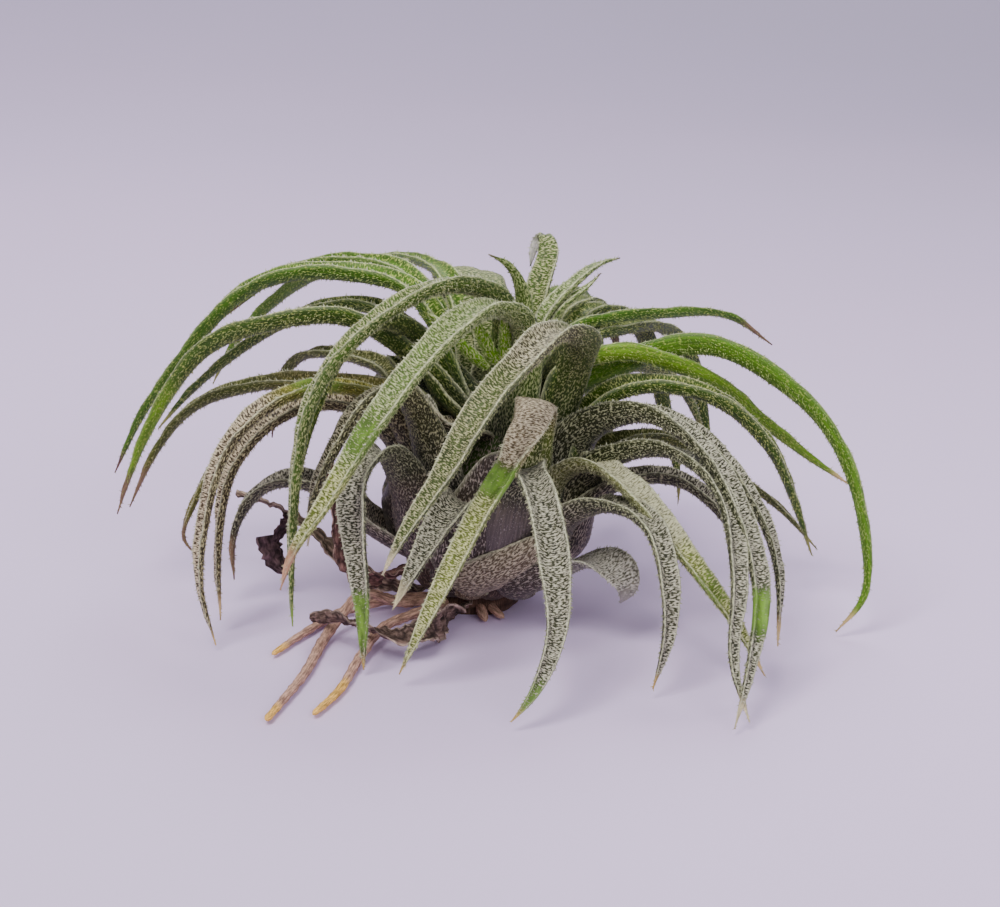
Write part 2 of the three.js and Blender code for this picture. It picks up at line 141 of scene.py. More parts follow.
YOUNG_LEAVES = [
    # left
    ("high", 7.2, "fresh", "umber", (-9, 3, 46), (-17, 5, 48), (-26, 7, 47.6), (-34, 10, 43.8),
     (-43, 12, 33.6), (-49.5, 13, 24.4), (-54, 14, 15)),
    ("high", 7.6, "leafy", "brown", (-14, -3, 42), (-20, -3, 44), (-28, -3, 43), (-38, -2, 39),
     (-46, 0, 28), (-50, 1, 19), (-52, 1, 13)),
    ("high", 6, "bright", "olive", (-11, 12, 46), (-18, 17, 46.5), (-26, 24, 42), (-33, 29, 35.5),
     (-38, 32, 29), (-41, 34, 23)),
    ("high", 6.6, "leafy", "olive", (-14, 8, 42), (-20, 10, 42), (-29, 14, 38), (-38, 17, 31),
     (-44, 19, 25), (-48, 20, 20)),
    ("high", 5.4, "fresh", "umber", (-3, 8, 45), (-8, 20, 46), (-14, 31, 44), (-20, 39, 41)),
    ("high", 5.8, "fresh", "brown", (-9, 10, 46), (-17, 16, 47.2), (-28, 22, 44.2), (-40, 27, 34.4)),
    # front
    ("high", 6.6, "silver", "green", (4, -4, 45), (-3, -13, 51), (-10, -18, 49.5), (-18, -22, 43.5),
     (-22, -24, 37), (-24, -24, 27), (-25, -24, 11), (-25, -23, 5)),
    ("high", 7.6, "frosted", "dry", (7, -7, 43), (2, -15, 48.2), (-3, -21, 46.5), (-9, -26, 41),
     (-15, -29, 33), (-20, -31, 25), (-24, -31, 19), (-26, -30, 13)),
    ("high", 7.8, "sage", "cream", (13, -6, 37), (15, -12, 43.2), (11, -18, 45.6), (6, -25, 42.8),
     (1, -30, 38), (-4, -33, 30), (-9, -35, 23), (-12, -35, 17)),
    # right
    ("high", 5.2, "fresh", "brown", (13, 2, 40), (20, 5, 41.5), (28, 9, 41), (37, 14, 39.5),
     (44, 17, 34)),
    ("high", 5.8, "leafy", "olive", (15, 4, 38.5), (21, 8, 39), (27, 17, 37), (32, 26, 30),
     (35, 31, 19), (37, 33, 8)),
    ("high", 5.8, "leafy", "olive", (15, 7, 41), (20, 14, 40), (25, 24, 34), (29, 33, 19),
     (32, 38, 5), (32, 39, 1.5)),
    ("high", 7.2, "bright", "tan", (14, 0.7, 31.8), (20, -0.7, 35.3), (27, -2, 38.6),
     (34, -3.5, 39.5), (42, -6, 36), (49, -8, 30), (53, -10, 23), (55, -12, 14), (55, -14, 6),
     (51, -15, 1)),
    ("high", 6.4, "vivid", "tan", (12.5, -4, 36), (18, -5.5, 38.8), (22, -5, 39.2),
     (25.5, -3.5, 37.8), (34, 0, 33.5), (41, 3, 27), (48, 4.5, 21), (55, 5, 16)),
    ("high", 5.4, "silver", "olive", (12.5, 5, 31), (18, 7.5, 33), (25, 14, 31.5), (31, 21, 26),
     (35, 26, 17)),
    # back
    ("high", 6.2, "silver", "olive", (0, 4, 39.6), (-0.7, 9, 43.4), (-1.7, 14, 45.3), (-4, 24, 41.6),
     (-5, 33, 32), (-6, 38, 22)),
    ("high", 6.2, "silver", "olive", (3.4, 4, 40), (1.6, 8, 43.6), (1, 14, 44.8), (0.6, 25, 40.8),
     (1, 34, 33), (0, 39, 24)),
    ("high", 5.4, "leafy", "brown", (11, 4, 41), (14, 10, 42), (17, 16, 41), (20, 23, 36),
     (22, 29, 28)),
    ("high", 5.8, "fresh", "tan", (10, 8, 40), (13, 17, 42), (17, 29, 36), (19, 38, 22),
     (20, 41, 10)),
    ("high", 5.8, "leafy", "olive", (5, 9, 38), (6, 20, 40), (7, 31, 33), (7, 39, 18), (7, 41, 6)),
    # heart
    ("heart", 4.2, "frosted", "umber", (7, -3, 44), (6, -5, 50), (4, -7, 53), (2, -8, 54)),
    ("heart", 6, "silver", "clear", (8, 4, 42), (9.6, 6, 47), (10.9, 8.4, 50.6), (10.3, 10.4, 52.4),
     (9, 11, 52.2), (8.2, 11, 50.2), (8, 11, 47.6)),
    ("heart", 4.2, "frosted", "umber", (9, -1, 42), (11, 0, 45), (14, 3, 47), (18, 9, 48.5),
     (21, 12, 48.5)),
    ("heart", 3.6, "frosted", "umber", (11, 0, 43), (14, 1, 45.5), (16, 3, 46.5), (18, 5, 48)),
    ("heart", 5, "spring", "olive", (-0.6, -3, 38), (-3.8, -4.4, 42.6), (-7, -6.4, 45.4)),
    ("heart", 4.6, "spring", "olive", (2, -4, 38.6), (0.4, -5.6, 43), (-1.2, -8, 46)),
    ("heart", 4.6, "spring", "olive", (4.6, -4, 38), (4.4, -6, 42.6), (4, -8.4, 45.6)),
    # one more at the left, behind the long front leaf
    ("high", 6.4, "leafy", "cream", (-7.6, 1, 38), (-10.4, -5, 43), (-13.4, -10.4, 45),
     (-17.3, -14, 42.8), (-19.7, -17, 39.3), (-22, -18.5, 33.7), (-23.6, -19, 27.8),
     (-24.8, -19, 21)),
]

# Sheaths that have lost their blades: heading in degrees from +X, reach and height of the
# rounded end, and look.
BARE_SHEATHS = [
    (196, 17, 19, "husk"), (217, 18.5, 26, "mauve"), (232, 17, 16, "husk"),
    (264, 15, 28, "mauve"), (200, 14, 33, "grey"), (345, 14, 18, "mauve"), (25, 15.5, 17, "mauve"),
    (80, 15, 18, "mauve"), (128, 15, 18, "husk"), (155, 14.5, 31, "grey"),
]
BARE_SHEATH_WIDTH = 10

# Papery scales at the bulb's base: how many, their width, and the ranges of their height and
# of how far their ends stand out.
HUSK_SCALES = 15
HUSK_WIDTH = 8
HUSK_HEIGHT = (8, 13)
HUSK_REACH = (11.4, 12.6)

# Sheaths among the others: tier, width, look, then the middle line.
LOOSE_SHEATHS = [
    ("wrap", 8, "oat", "none", (-2.4, -12, 6.6), (2.6, -14.6, 9), (7.4, -15.6, 12.2), (11, -15, 15.4)),
    ("inner", 6, "straw", "none", (-6.4, -8.2, 30), (-9, -9, 36.4)),
    ("inner", 6, "leafy", "none", (-6, 1, 30), (-12.6, 1.2, 37)),
    ("inner", 6, "leafy", "none", (-5, -3.5, 32), (-8.4, -4, 38)),
    ("inner", 6, "leafy", "none", (-4.5, 2.5, 33), (-8.6, 4, 38.6)),
]

# Patches rubbed bare of scales: leaf, where along it (0 root, 1 tip), half length, greenness.
BARE_PATCHES = {
    "old_leaf_04": (0.46, 0.02, 0.7),
    "old_leaf_08": (0.895, 0.045, 0.9),
    "old_leaf_10": (0.602, 0.018, 0.95),
    "old_leaf_11": (0.945, 0.018, 0.6),
    "old_leaf_12": (0.81, 0.02, 0.35),
    "old_leaf_15": (0.815, 0.022, 0.95),
    "young_leaf_08": (0.715, 0.012, 0.6),
}
PATCH_EDGE = 0.028        # share of the leaf over which a patch fades

# Leaves and tiers whose sheath keeps its own look, and how much of the usual one it still takes.
OWN_SHEATHS = ("old_leaf_11", "old_leaf_14")
OWN_TIERS = ("bare", "husk", "wrap", "inner", "heart")
OWN_SHARE = 0.1

# Sheaths that lie turned on their line, flat against the bulb: leaf, radians.
ROLLS = {"old_leaf_14": -1.0, "loose_sheath_1": -0.8}

# Blades that turn on their line: leaf, radians at its arch and at its tip.
TURNS = {
    "young_leaf_02": (0.35, 0.1),
    "young_leaf_07": (0.3, 0.5),
    "young_leaf_10": (-0.4, -0.2),
    "young_leaf_13": (-0.55, -0.35),
    "young_leaf_14": (-0.45, -0.3),
    "young_leaf_28": (0.4, 0.3),
    "old_leaf_07": (0.2, 0.5),
    "old_leaf_14": (-0.1, 0.5),
    "old_leaf_15": (-0.6, -0.1),
    "old_leaf_16": (-0.45, 0),
    "old_leaf_17": (-0.3, 0),
}

# Crests that are flattened: leaf, where along it, half length, how flat, how much narrower. A
# crest that is more than 1 flat is domed.
FLAT_CRESTS = {
    "old_leaf_10": (0.43, 0.14, 1.5, 0.3),
    "old_leaf_11": (0.42, 0.08, 0.35, 0),
    "old_leaf_14": (0.85, 0.5, 0.7, 0),
    "young_leaf_16": (0.46, 0.3, 1.4, 0),
    "young_leaf_17": (0.46, 0.3, 1.4, 0),
    "young_leaf_22": (0.84, 0.3, 1.2, 0.5),
}
NO_FLAT_CREST = (0, 1, 0, 0)

# Stretches with a look of their own: leaf, from and to along it, look.
STRETCHES = {
    "old_leaf_10": (0.3, 0.555, "cream"),
    "old_leaf_04": (0.3, 0.5, "lemon"),
    "old_leaf_01": (0.55, 0.85, "olive"),
    "old_leaf_08": (-0.1, 0.36, "mauve"),
    "old_leaf_11": (-0.1, 0.27, "plum"),
    "old_leaf_12": (0.68, 1.1, "lime"),
    "old_leaf_14": (-0.1, 0.5, "mauve"),
    "young_leaf_14": (-0.1, 0.3, "leafy"),
    "young_leaf_02": (0.7, 0.9, "moss"),
    "young_leaf_08": (0.74, 1.1, "lime"),
    "young_leaf_09": (0.38, 0.54, "woolly"),
}
STRETCH_EDGE = 0.06       # share of the leaf over which a stretch fades

# Dried leaves, shrivelled to twisted straps: width, turns of twist, rim look, middle line.
DRIED_LEAVES = [
    (3.8, 0.3, "rust", (-9.6, -8.2, 8.4), (-15.5, -11.8, 7.8), (-18, -12.3, 11), (-18.8, -12.5, 17),
     (-20.6, -12.5, 26)),
    (3, 0.6, "ash", (-6.9, 1.2, 1.6), (-12, 1.4, 2), (-18, 1, 5), (-23, 1, 9.6), (-28, 2, 13.4),
     (-35, 4, 15.2)),
    (4.4, 0.7, "soot", (-2.1, -6.9, 1.4), (-4, -12, 2.2), (-6, -19, 3), (-10, -24, 3.6),
     (-15, -22, 4.4), (-20, -18, 4.4), (-23, -15.5, 3.2)),
]

# Torn flakes of dried leaf that hang from the second one, in the same form.
FLAKES = [
    (3.4, 0.1, "char", (-26.6, 1.9, 12.9), (-28, 2.2, 10.8), (-29.6, 2, 8.6)),
    (3.8, 0.15, "char", (-30.2, 1.9, 9.4), (-29.8, 1.6, 6.6), (-27.6, 1.4, 3.4)),
]

# Roots: radius, length of the golden tip, then the middle line from inside the stem to the tip.
# They lie on the surface.
ROOTS = [
    (0.8, 6, (-5, -2.6, 1.4), (-11, -6.5, 2.2), (-16, -10, 5), (-19, -13, 2.6), (-21, -17.5, 1.1),
     (-23, -30, 0.9), (-27, -46, 0.9)),
    (0.75, 13, (-4, -4.4, 1.4), (-9, -11, 2), (-13, -16, 2), (-16, -26, 1), (-18, -36, 0.85),
     (-21, -44, 0.85)),
    (0.7, 5, (-5, -1.4, 1.4), (-12, -3.4, 1.4), (-19, -7, 1), (-24, -15, 0.85), (-28, -23, 0.8)),
    (0.8, 0, (0.6, -5, 1.3), (1, -7.8, 1.1), (1.6, -10.4, 0.85)),
    (0.7, 0, (2, -5, 1.4), (2.8, -7.2, 1.1), (4.2, -9, 0.75)),
]

# The stem's and the bulb core's outlines, as (radius, height) from the foot up.
STEM_PROFILE = [(6, 0), (6.6, 1), (6.3, 2), (6, 3)]
BULB_PROFILE = [(7.4, 3.3), (9.6, 4.6), (10.6, 7), (10.8, 11), (9.6, 16), (7, 22), (4.6, 30), (2, 38)]

# The random seed of each piece, or of the first of its kind: the next ones add 1.
SEEDS = {
    "stem": 11, "bulb": 12, "husk ring": 40, "old leaf": 100, "bare sheath": 200, "husk": 250,
    "loose sheath": 280, "young leaf": 300, "dried leaf": 400, "flake": 430, "root": 500,
}

# ---------------------------------------------------------------- colours


def paint(red, green, blue):
    """An sRGB colour, 0 to 255, as the linear values that shaders and attributes take."""
    c = np.array([red, green, blue]) / 255
    return np.where(c <= 0.04045, c / 12.92, ((c + 0.055) / 1.055) ** 2.4)


# Flesh colour, colour of the scales, and the share of the upper face that scales cover.
LOOKS = {
    "fresh": (paint(66, 102, 16), paint(160, 176, 90), 0.34),
    "bright": (paint(83, 119, 26), paint(152, 172, 84), 0.34),
    "vivid": (paint(107, 142, 30), paint(168, 184, 84), 0.3),
    "moss": (paint(100, 134, 18), paint(162, 176, 80), 0.32),
    "leafy": (paint(54, 78, 8), paint(160, 166, 98), 0.4),
    "frosted": (paint(74, 98, 34), paint(164, 172, 124), 0.52),
    "silver": (paint(62, 86, 22), paint(160, 164, 116), 0.5),
    "sage": (paint(58, 72, 26), paint(154, 154, 114), 0.48),
    "woolly": (paint(56, 54, 32), paint(172, 166, 136), 0.55),
    "lime": (paint(86, 98, 32), paint(176, 178, 124), 0.56),
    "dotted": (paint(42, 44, 24), paint(160, 157, 137), 0.55),
    "pale": (paint(98, 98, 66), paint(164, 162, 132), 0.75),
    "cream": (paint(96, 80, 58), paint(192, 178, 152), 0.6),
    "lemon": (paint(98, 98, 22), paint(168, 162, 84), 0.42),
    "olive": (paint(66, 72, 20), paint(150, 148, 100), 0.38),
    "tawny": (paint(84, 82, 32), paint(154, 144, 94), 0.34),
    "straw": (paint(58, 46, 30), paint(182, 168, 140), 0.58),
    "grey": (paint(46, 42, 34), paint(156, 150, 134), 0.52),
    "husk": (paint(66, 48, 38), paint(128, 108, 94), 0.46),
    "mauve": (paint(58, 48, 42), paint(144, 132, 122), 0.5),
    "plum": (paint(96, 85, 86), paint(150, 138, 136), 0.03),
    "ashen": (paint(82, 79, 68), paint(160, 156, 144), 0.66),
    "spring": (paint(116, 162, 24), paint(200, 210, 150), 0.7),
    "chaff": (paint(120, 102, 76), paint(190, 176, 146), 0.62),
    "oat": (paint(92, 80, 62), paint(158, 147, 124), 0.9),
}
BARE_GREEN = paint(100, 135, 46)
RIM_WHITE = paint(186, 186, 160)
HAIR_WHITE = paint(200, 202, 176)

# Flesh and scale colours that a sheath takes, by tier. All other tiers take the old one's.
YOUNG_SHEATH = (paint(56, 82, 12), paint(154, 164, 112))
OLD_SHEATH = (paint(57, 49, 43), paint(152, 139, 126))
SHEATH_LOOKS = {
    "high": (paint(40, 52, 20), paint(142, 143, 114)),
    "middle": (paint(43, 43, 31), paint(146, 139, 126)),
    "heart": YOUNG_SHEATH,
    "inner": YOUNG_SHEATH,
}
SHEATH_FADE = 0.6         # they come in over this much of the change from blade to sheath
FADE_START = {"high": 0.3}  # from here on, by tier
USUAL_FADE_START = 0.1

ROOT_PAINTED_SHADE, ROOT_PAINTED_SHADE_END = 0.5, 24  # painted shade of the crevices: a leaf darkens to this share at its root, over these mm
PAINTED_SHADE_TIERS = ("high", "inner", "middle")

# The under face's flesh is darker, as painted shade, and on some tiers both its colours past the
# sheath are shares of the upper face's: with less blue, to offset the lilac light that the floor
# throws on the under face, and with darker scales, as painted shade.
UNDER_PAINTED_SHADE = 0.85
UNDER_FLESH = np.array([0.9, 1.02, 0.5])
UNDER_SCALES = np.array([0.82, 0.87, 0.66])
UNDER_TIERS = ("low", "middle", "high", "heart", "inner")

# Dry tips. "none" is a sheath's rounded end.
TIPS = {
    "tan": paint(196, 168, 118), "brown": paint(116, 92, 70), "umber": paint(98, 66, 62),
    "amber": paint(204, 168, 90), "green": paint(124, 158, 60), "cream": paint(196, 184, 150),
    "olive": paint(128, 128, 70), "grey": paint(150, 146, 138), "clear": paint(206, 200, 200),
    "none": paint(128, 128, 128), "dry": paint(178, 136, 108),
}
TIP_LENGTH = {"brown": 8, "clear": 14, "grey": 4, "none": 0, "dry": 8, "amber": 3}
USUAL_TIP = 5
HEART_TIP = 0.45          # the heart's short leaves have tips of this share of that length
TIP_EDGE = 3              # mm over which a tip's colour comes in
TIP_SCALES = 0.4          # how much of their own colour the scales keep on it
TIP_COVER = 0.35          # and how much of their cover

# Dried leaves: body and rim colours.
DRIED_LOOKS = {
    "rust": (paint(106, 78, 72), paint(166, 140, 128)),
    "ash": (paint(128, 112, 98), paint(176, 160, 142)),
    "soot": (paint(104, 86, 79), paint(178, 158, 146)),
    "char": (paint(74, 58, 60), paint(104, 86, 84)),
}
ROOT_BARK, ROOT_TIP = paint(192, 156, 138), paint(234, 188, 100)
STEM_BARK, BULB_BARK = paint(92, 70, 58), paint(96, 74, 60)

# ---------------------------------------------------------------- curves and small helpers

SPAN_STEPS = 40           # points on a path between two of the points that it passes


def smoothstep(x):
    t = np.clip(x, 0, 1)
    return t * t * (3 - 2 * t)


def mix(a, b, t):
    return a + (b - a) * t


def unit(v):
    return v / np.maximum(np.linalg.norm(v, axis=-1, keepdims=True), 1e-12)


def axis_at(z):
    """The rosette's axis at a height."""
    return np.array([LEAN * z, 0, z], float)


def angles_round(sides):
    """Evenly spaced angles round a section."""
    return np.arange(sides) * 2 * math.pi / sides


def smooth_path(points, step, passes=6, fewest=2):
    """Points about `step` apart on the centripetal Catmull-Rom curve through some points, and
    the curve's length.

    Each span is a cubic Hermite piece whose end slopes come from its neighbours, with knots
    spaced by the square root of distance. The result is then averaged lightly along its length.
    """
    p = np.asarray(points, float)
    p = np.vstack([2 * p[0] - p[1], p, 2 * p[-1] - p[-2]])
    gap = np.linalg.norm(np.diff(p, axis=0), axis=1)[:, None] ** 0.5
    d0, d1, d2 = gap[:-2], gap[1:-1], gap[2:]
    x0, x1, x2, x3 = p[:-3], p[1:-2], p[2:-1], p[3:]
    out = ((x1 - x0) / d0 - (x2 - x0) / (d0 + d1) + (x2 - x1) / d1) * d1
    back = ((x2 - x1) / d1 - (x3 - x1) / (d1 + d2) + (x3 - x2) / d2) * d1
    w = np.linspace(0, 1, SPAN_STEPS, endpoint=False)[None, :, None]
    x1, x2, out, back = (a[:, None] for a in (x1, x2, out, back))
    square, cube = 3 * (x2 - x1) - 2 * out - back, 2 * (x1 - x2) + out + back
    span = x1 + out * w + square * w**2 + cube * w**3
    line = np.vstack([span.reshape(-1, 3), p[-2]])
    run = np.concatenate([[0], np.cumsum(np.linalg.norm(np.diff(line, axis=0), axis=1))])
    at = np.linspace(0, run[-1], max(int(run[-1] / step), fewest))
    line = np.stack([np.interp(at, run, line[:, k]) for k in range(3)], 1)
    for _ in range(passes):
        line[1:-1] = (line[:-2] + 2 * line[1:-1] + line[2:]) / 4
    return line, run[-1]


def square_to(spine, side):
    """Unit directions square to a line at each of its points: across it near `side`, and up."""
    along = unit(np.gradient(spine, axis=0))
    across = unit(side - (along @ side)[:, None] * along)
    return across, np.cross(along, across)


def turned(across, up, angle):
    """Both directions of a section turned by an angle at each station."""
    c, s = np.cos(angle)[:, None], np.sin(angle)[:, None]
    return across * c + up * s, up * c - across * s


def carried(spine, across, up, x, y):
    """Rings of a section that is carried along a line: each point is x across it and y up."""
    return spine[:, None] + across[:, None] * x[..., None] + up[:, None] * y[..., None]


def wander(rng, along):
    """A smooth random line between about -1 and 1: three sines of random phase, each with more
    waves and less height than the one before."""
    total = np.zeros_like(along)
    for k in (1, 2, 3):
        total += np.sin(2 * math.pi * (along * k * 0.9 + rng.random())) / k
    return total / 1.6


# ---------------------------------------------------------------- mesh making


def add_object(name, data):
    """An object at the origin that holds some data, in the scene."""
    made = bpy.data.objects.new(name, data)
    bpy.context.scene.collection.objects.link(made)
    return made


def build_piece(name, points, quads, triangles, uv, material, node, colours, shares):
    """A piece from whole arrays: its faces are all quads, then all triangles. `uv` has one row
    for each face corner, and `colours` and `shares` are point attributes."""
    mesh = bpy.data.meshes.new(name)
    corners = np.concatenate([quads.ravel(), triangles.ravel()]).astype(np.int32)
    starts = np.concatenate([
        np.arange(len(quads)) * 4, len(quads) * 4 + np.arange(len(triangles)) * 3]).astype(np.int32)
    mesh.vertices.add(len(points))
    mesh.vertices.foreach_set("co", (points * MM).astype(np.float32).ravel())
    mesh.loops.add(len(corners))
    mesh.loops.foreach_set("vertex_index", corners)
    mesh.polygons.add(len(starts))
    mesh.polygons.foreach_set("loop_start", starts)
    mesh.update(calc_edges=True)
    for key, values in colours.items():
        layer = mesh.attributes.new(key, "FLOAT_COLOR", "POINT")
        values = np.column_stack([values, np.ones(len(values))])
        layer.data.foreach_set("color", values.astype(np.float32).ravel())
    for key, values in shares.items():
        layer = mesh.attributes.new(key, "FLOAT", "POINT")
        layer.data.foreach_set("value", values.astype(np.float32))
    layer = mesh.uv_layers.new(name="skin")
    layer.data.foreach_set("uv", uv.astype(np.float32).ravel())
    hair = shares.get("hair", np.zeros(len(points)))
    mesh.polygons.foreach_set("use_smooth", hair[corners[starts]] < 0.5)
    mesh.materials.append(material)
    mesh.validate()
    piece = add_object(name, mesh)
    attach(piece, "root")
    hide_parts(node)


def run_round(rings):
    """The length round each ring from its first point to each of its points and back to it."""
    step = np.linalg.norm(np.roll(rings, -1, 1) - rings, axis=-1)
    return np.concatenate([np.zeros((len(rings), 1)), np.cumsum(step, 1)], 1)


def close_tube(rings, around=None):
    """Points, quads, end triangles and face-corner UVs of a tube through rings of points, which
    run counter-clockwise seen from its far end. UVs are millimetres round and along it. Round
    it they are `around`, one row for each ring, or else the mean ring's."""
    count, sides = rings.shape[:2]
    points = np.vstack([rings.reshape(-1, 3), rings[0].mean(0), rings[-1].mean(0)])
    i, j = np.meshgrid(np.arange(count - 1), np.arange(sides), indexing="ij")
    k = (j + 1) % sides
    quads = np.stack([i * sides + j, i * sides + k, (i + 1) * sides + k, (i + 1) * sides + j], -1)
    if around is None:
        around = np.broadcast_to(run_round(rings).mean(0), (count, sides + 1))
    v = np.concatenate([[0], np.cumsum(np.linalg.norm(np.diff(rings.mean(1), axis=0), axis=1))])
    uv = np.stack([
        np.stack([around[a, b], v[a]], -1)
        for a, b in ((i, j), (i, j + 1), (i + 1, j + 1), (i + 1, j))], -2)
    at = np.arange(sides)
    ahead = (at + 1) % sides
    last = (count - 1) * sides
    start = np.stack([np.full(sides, count * sides), ahead, at], -1)
    end = np.stack([np.full(sides, count * sides + 1), last + at, last + ahead], -1)
    cap_uv = np.zeros((2 * sides, 3, 2))
    cap_uv[:sides, :, 0] = around[0, :-1, None]
    cap_uv[sides:, :, 0] = around[-1, :-1, None]
    cap_uv[sides:, :, 1] = v[-1]
    uv = np.concatenate([uv.reshape(-1, 2), cap_uv.reshape(-1, 2)])
    return points, quads.reshape(-1, 4), np.vstack([start, end]), uv


def tube_values(grid):
    """Values at a closed tube's points: the ring points', then each end ring's mean."""
    return np.concatenate([
        grid.reshape(-1, *grid.shape[2:]), grid[0].mean(0)[None], grid[-1].mean(0)[None]])


# ---------------------------------------------------------------- raised scales

SCALE_SINK = 0.04         # a scale's root lies this far under the skin
HEEL_AT = 0.4             # its heel is this share of its length ahead of the root
SCALE_CORNERS = 4
SCALE_FACES = np.array([0, 3, 1, 0, 2, 3, 1, 3, 2, 0, 1, 2])  # corners of its four triangles
# Random shares of a scale's length, width and colour, and of its tilt: spread and limits.
LENGTH_VARIES, WIDTH_VARIES, SHADE_VARIES = (0.65, 1.35), (0.7, 1.3), (0.75, 1.15)
TILT_VARIES, TILT_LIMITS = 0.35, (0.2, 2)


def grow_scales(rng, rings, per_mm2, length, width, tilt, spread, tint):
    """Slim pointed scales that lie on a tube's skin and point to its tip.

    Each quad of the skin gets a random number of scales, in proportion to its area. A scale is
    a closed sliver of four faces: two root corners, a heel under it and a raised point. All
    values come per quad. Returns points, triangles and colours.
    """
    nxt = np.roll(rings, -1, 1)
    a, b, c, d = rings[:-1], nxt[:-1], nxt[1:], rings[1:]
    area = np.linalg.norm(np.cross(c - a, d - b), axis=-1) / 2
    number = rng.poisson(area * per_mm2)
    i, j = np.nonzero(number)
    times = number[i, j]
    i, j = np.repeat(i, times), np.repeat(j, times)
    each = (len(i), 1)
    fu, fv = rng.random((2, *each))
    a, b, c, d = a[i, j], b[i, j], c[i, j], d[i, j]
    root = mix(mix(a, b, fu), mix(d, c, fu), fv)
    normal = unit(np.cross(b - a, d - a))
    along = unit(d - a)
    yaw = rng.normal(0, 1, each) * spread[i, j][:, None]
    ahead = unit(along * np.cos(yaw) + np.cross(normal, along) * np.sin(yaw))
    side = np.cross(normal, ahead)
    size = rng.uniform(*LENGTH_VARIES, each) * length[i, j][:, None]
    half = rng.uniform(*WIDTH_VARIES, each) * width[i, j][:, None] / 2
    rise = np.clip(rng.normal(1, TILT_VARIES, each), *TILT_LIMITS) * tilt[i, j][:, None]
    root = root - normal * SCALE_SINK
    point = root + (ahead * np.cos(rise) + normal * np.sin(rise)) * size
    heel = root + ahead * size * HEEL_AT - normal * SCALE_SINK
    points = np.stack([root - side * half, root + side * half, heel, point], 1).reshape(-1, 3)
    first = np.arange(len(i))[:, None] * SCALE_CORNERS
    triangles = (first + SCALE_FACES).reshape(-1, 3)
    shade = rng.uniform(*SHADE_VARIES, each)
    colour = np.repeat(tint[i, j] * shade, SCALE_CORNERS, axis=0)
    return points, triangles, colour


# ---------------------------------------------------------------- materials

SCALES_PER_MM = 3.3       # waves of the scale pattern in one mm
PATCHES_PER_MM = 0.5      # and of the pattern by which the cover varies
PATCHY = 0.5              # how much it varies
BARE_LEVEL = 0.67         # the scale pattern is cut here where there is no cover
LEVEL_DROP = -0.34        # and this much from there under a full one
CUT_EDGE = (0.03, 0.035)  # softness of the cut, below and above it
SCALE_LIGHT = (0.72, 1.3)  # brightness of a scale at the cut and inside
SCALE_INSIDE = 0.2        # how far above the cut that is
STREAKS_PER_MM = (2.2, 0.3)  # of the flesh, round and along the leaf
STREAK_TINTS = (0.6, 0.6, 0.6), (1.3, 1.3, 1.2)

RIDGES_PER_MM = (3.4, 0.5)   # of dead tissue, round and along it
SCARS_PER_MM = (0.8, 1.3)
FIBRE_TINTS = (0.42, 0.38, 0.36), (1.35, 1.32, 1.28)

SKIN_BUMP = (0.08, 0.8)   # depth in mm, and strength
DULL = 0.25               # specular level of everything that grew
FLESH_GLOW = (0.6, 1.0, 0.3)  # how far red, green and blue light spread in a leaf, in units
GLOW_DEPTH = 0.5          # of this many mm
DOWN = 0.05               # sheen of the finest hairs


class Nodes:
    """Short ways to add and join the nodes of one tree."""

    def __init__(self, tree):
        self.tree = tree

    def add(self, kind, **settings):
        node = self.tree.nodes.new(kind)
        for key, value in settings.items():
            setattr(node, key, value)
        return node

    def put(self, target, value):
        """Joins or sets one input."""
        if isinstance(value, bpy.types.NodeSocket):
            self.tree.links.new(value, target)
        else:
            target.default_value = value

    def group(self, tree, inputs):
        """The outputs of a group that is placed with these inputs."""
        node = self.add("ShaderNodeGroup", node_tree=tree)
        for key, value in inputs.items():
            self.put(node.inputs[key], value)
        return node.outputs

    def math(self, operation, *values):
        node = self.add("ShaderNodeMath", operation=operation)
        for target, value in zip(node.inputs, values):
            self.put(target, value)
        return node.outputs[0]

    def ramp(self, value, low, high, to_low=0.0, to_high=1.0):
        """`value` from low..high to to_low..to_high, eased and held at the ends."""
        node = self.add("ShaderNodeMapRange", interpolation_type="SMOOTHSTEP")
        for key, number in zip(("Value", "From Min", "From Max", "To Min", "To Max"),
                               (value, low, high, to_low, to_high)):
            self.put(node.inputs[key], number)
        return node.outputs["Result"]

    def blend(self, share, first, second, way="MIX"):
        node = self.add("ShaderNodeMix", data_type="RGBA", blend_type=way)
        self.put(node.inputs["Factor"], share)
        self.put(node.inputs[6], first)
        self.put(node.inputs[7], second)
        return node.outputs[2]

    def between(self, share, colour, tints):
        """A colour times the first tint, or the second one, or what lies between them."""
        dark, light = (self.blend(1.0, colour, (*tint, 1), "MULTIPLY") for tint in tints)
        return self.blend(share, dark, light)

    def noise(self, vector, scale, detail, roughness=0.55):
        node = self.add("ShaderNodeTexNoise")
        self.put(node.inputs["Vector"], vector)
        node.inputs["Scale"].default_value = scale
        node.inputs["Detail"].default_value = detail
        node.inputs["Roughness"].default_value = roughness
        return node.outputs["Fac"]

    def stretched_noise(self, vector, per_mm, detail, roughness=0.55):
        """Noise with its own number of waves in one mm round and along a piece."""
        node = self.add("ShaderNodeVectorMath", operation="MULTIPLY")
        self.put(node.inputs[0], vector)
        node.inputs[1].default_value = (*per_mm, 1.0)
        return self.noise(node.outputs[0], 1.0, detail, roughness)

    def attribute(self, name, output="Color"):
        return self.add("ShaderNodeAttribute", attribute_name=name).outputs[output]

    def skin_mm(self):
        """The piece's own coordinates, in millimetres round and along it."""
        return self.add("ShaderNodeUVMap", uv_map="skin").outputs[0]

    def bump(self, height, depth, strength=1.0):
        """The normal over bumps `depth` mm deep."""
        node = self.add("ShaderNodeBump")
        node.inputs["Distance"].default_value = depth * MM
        node.inputs["Strength"].default_value = strength
        self.put(node.inputs["Height"], height)
        return node.outputs[0]


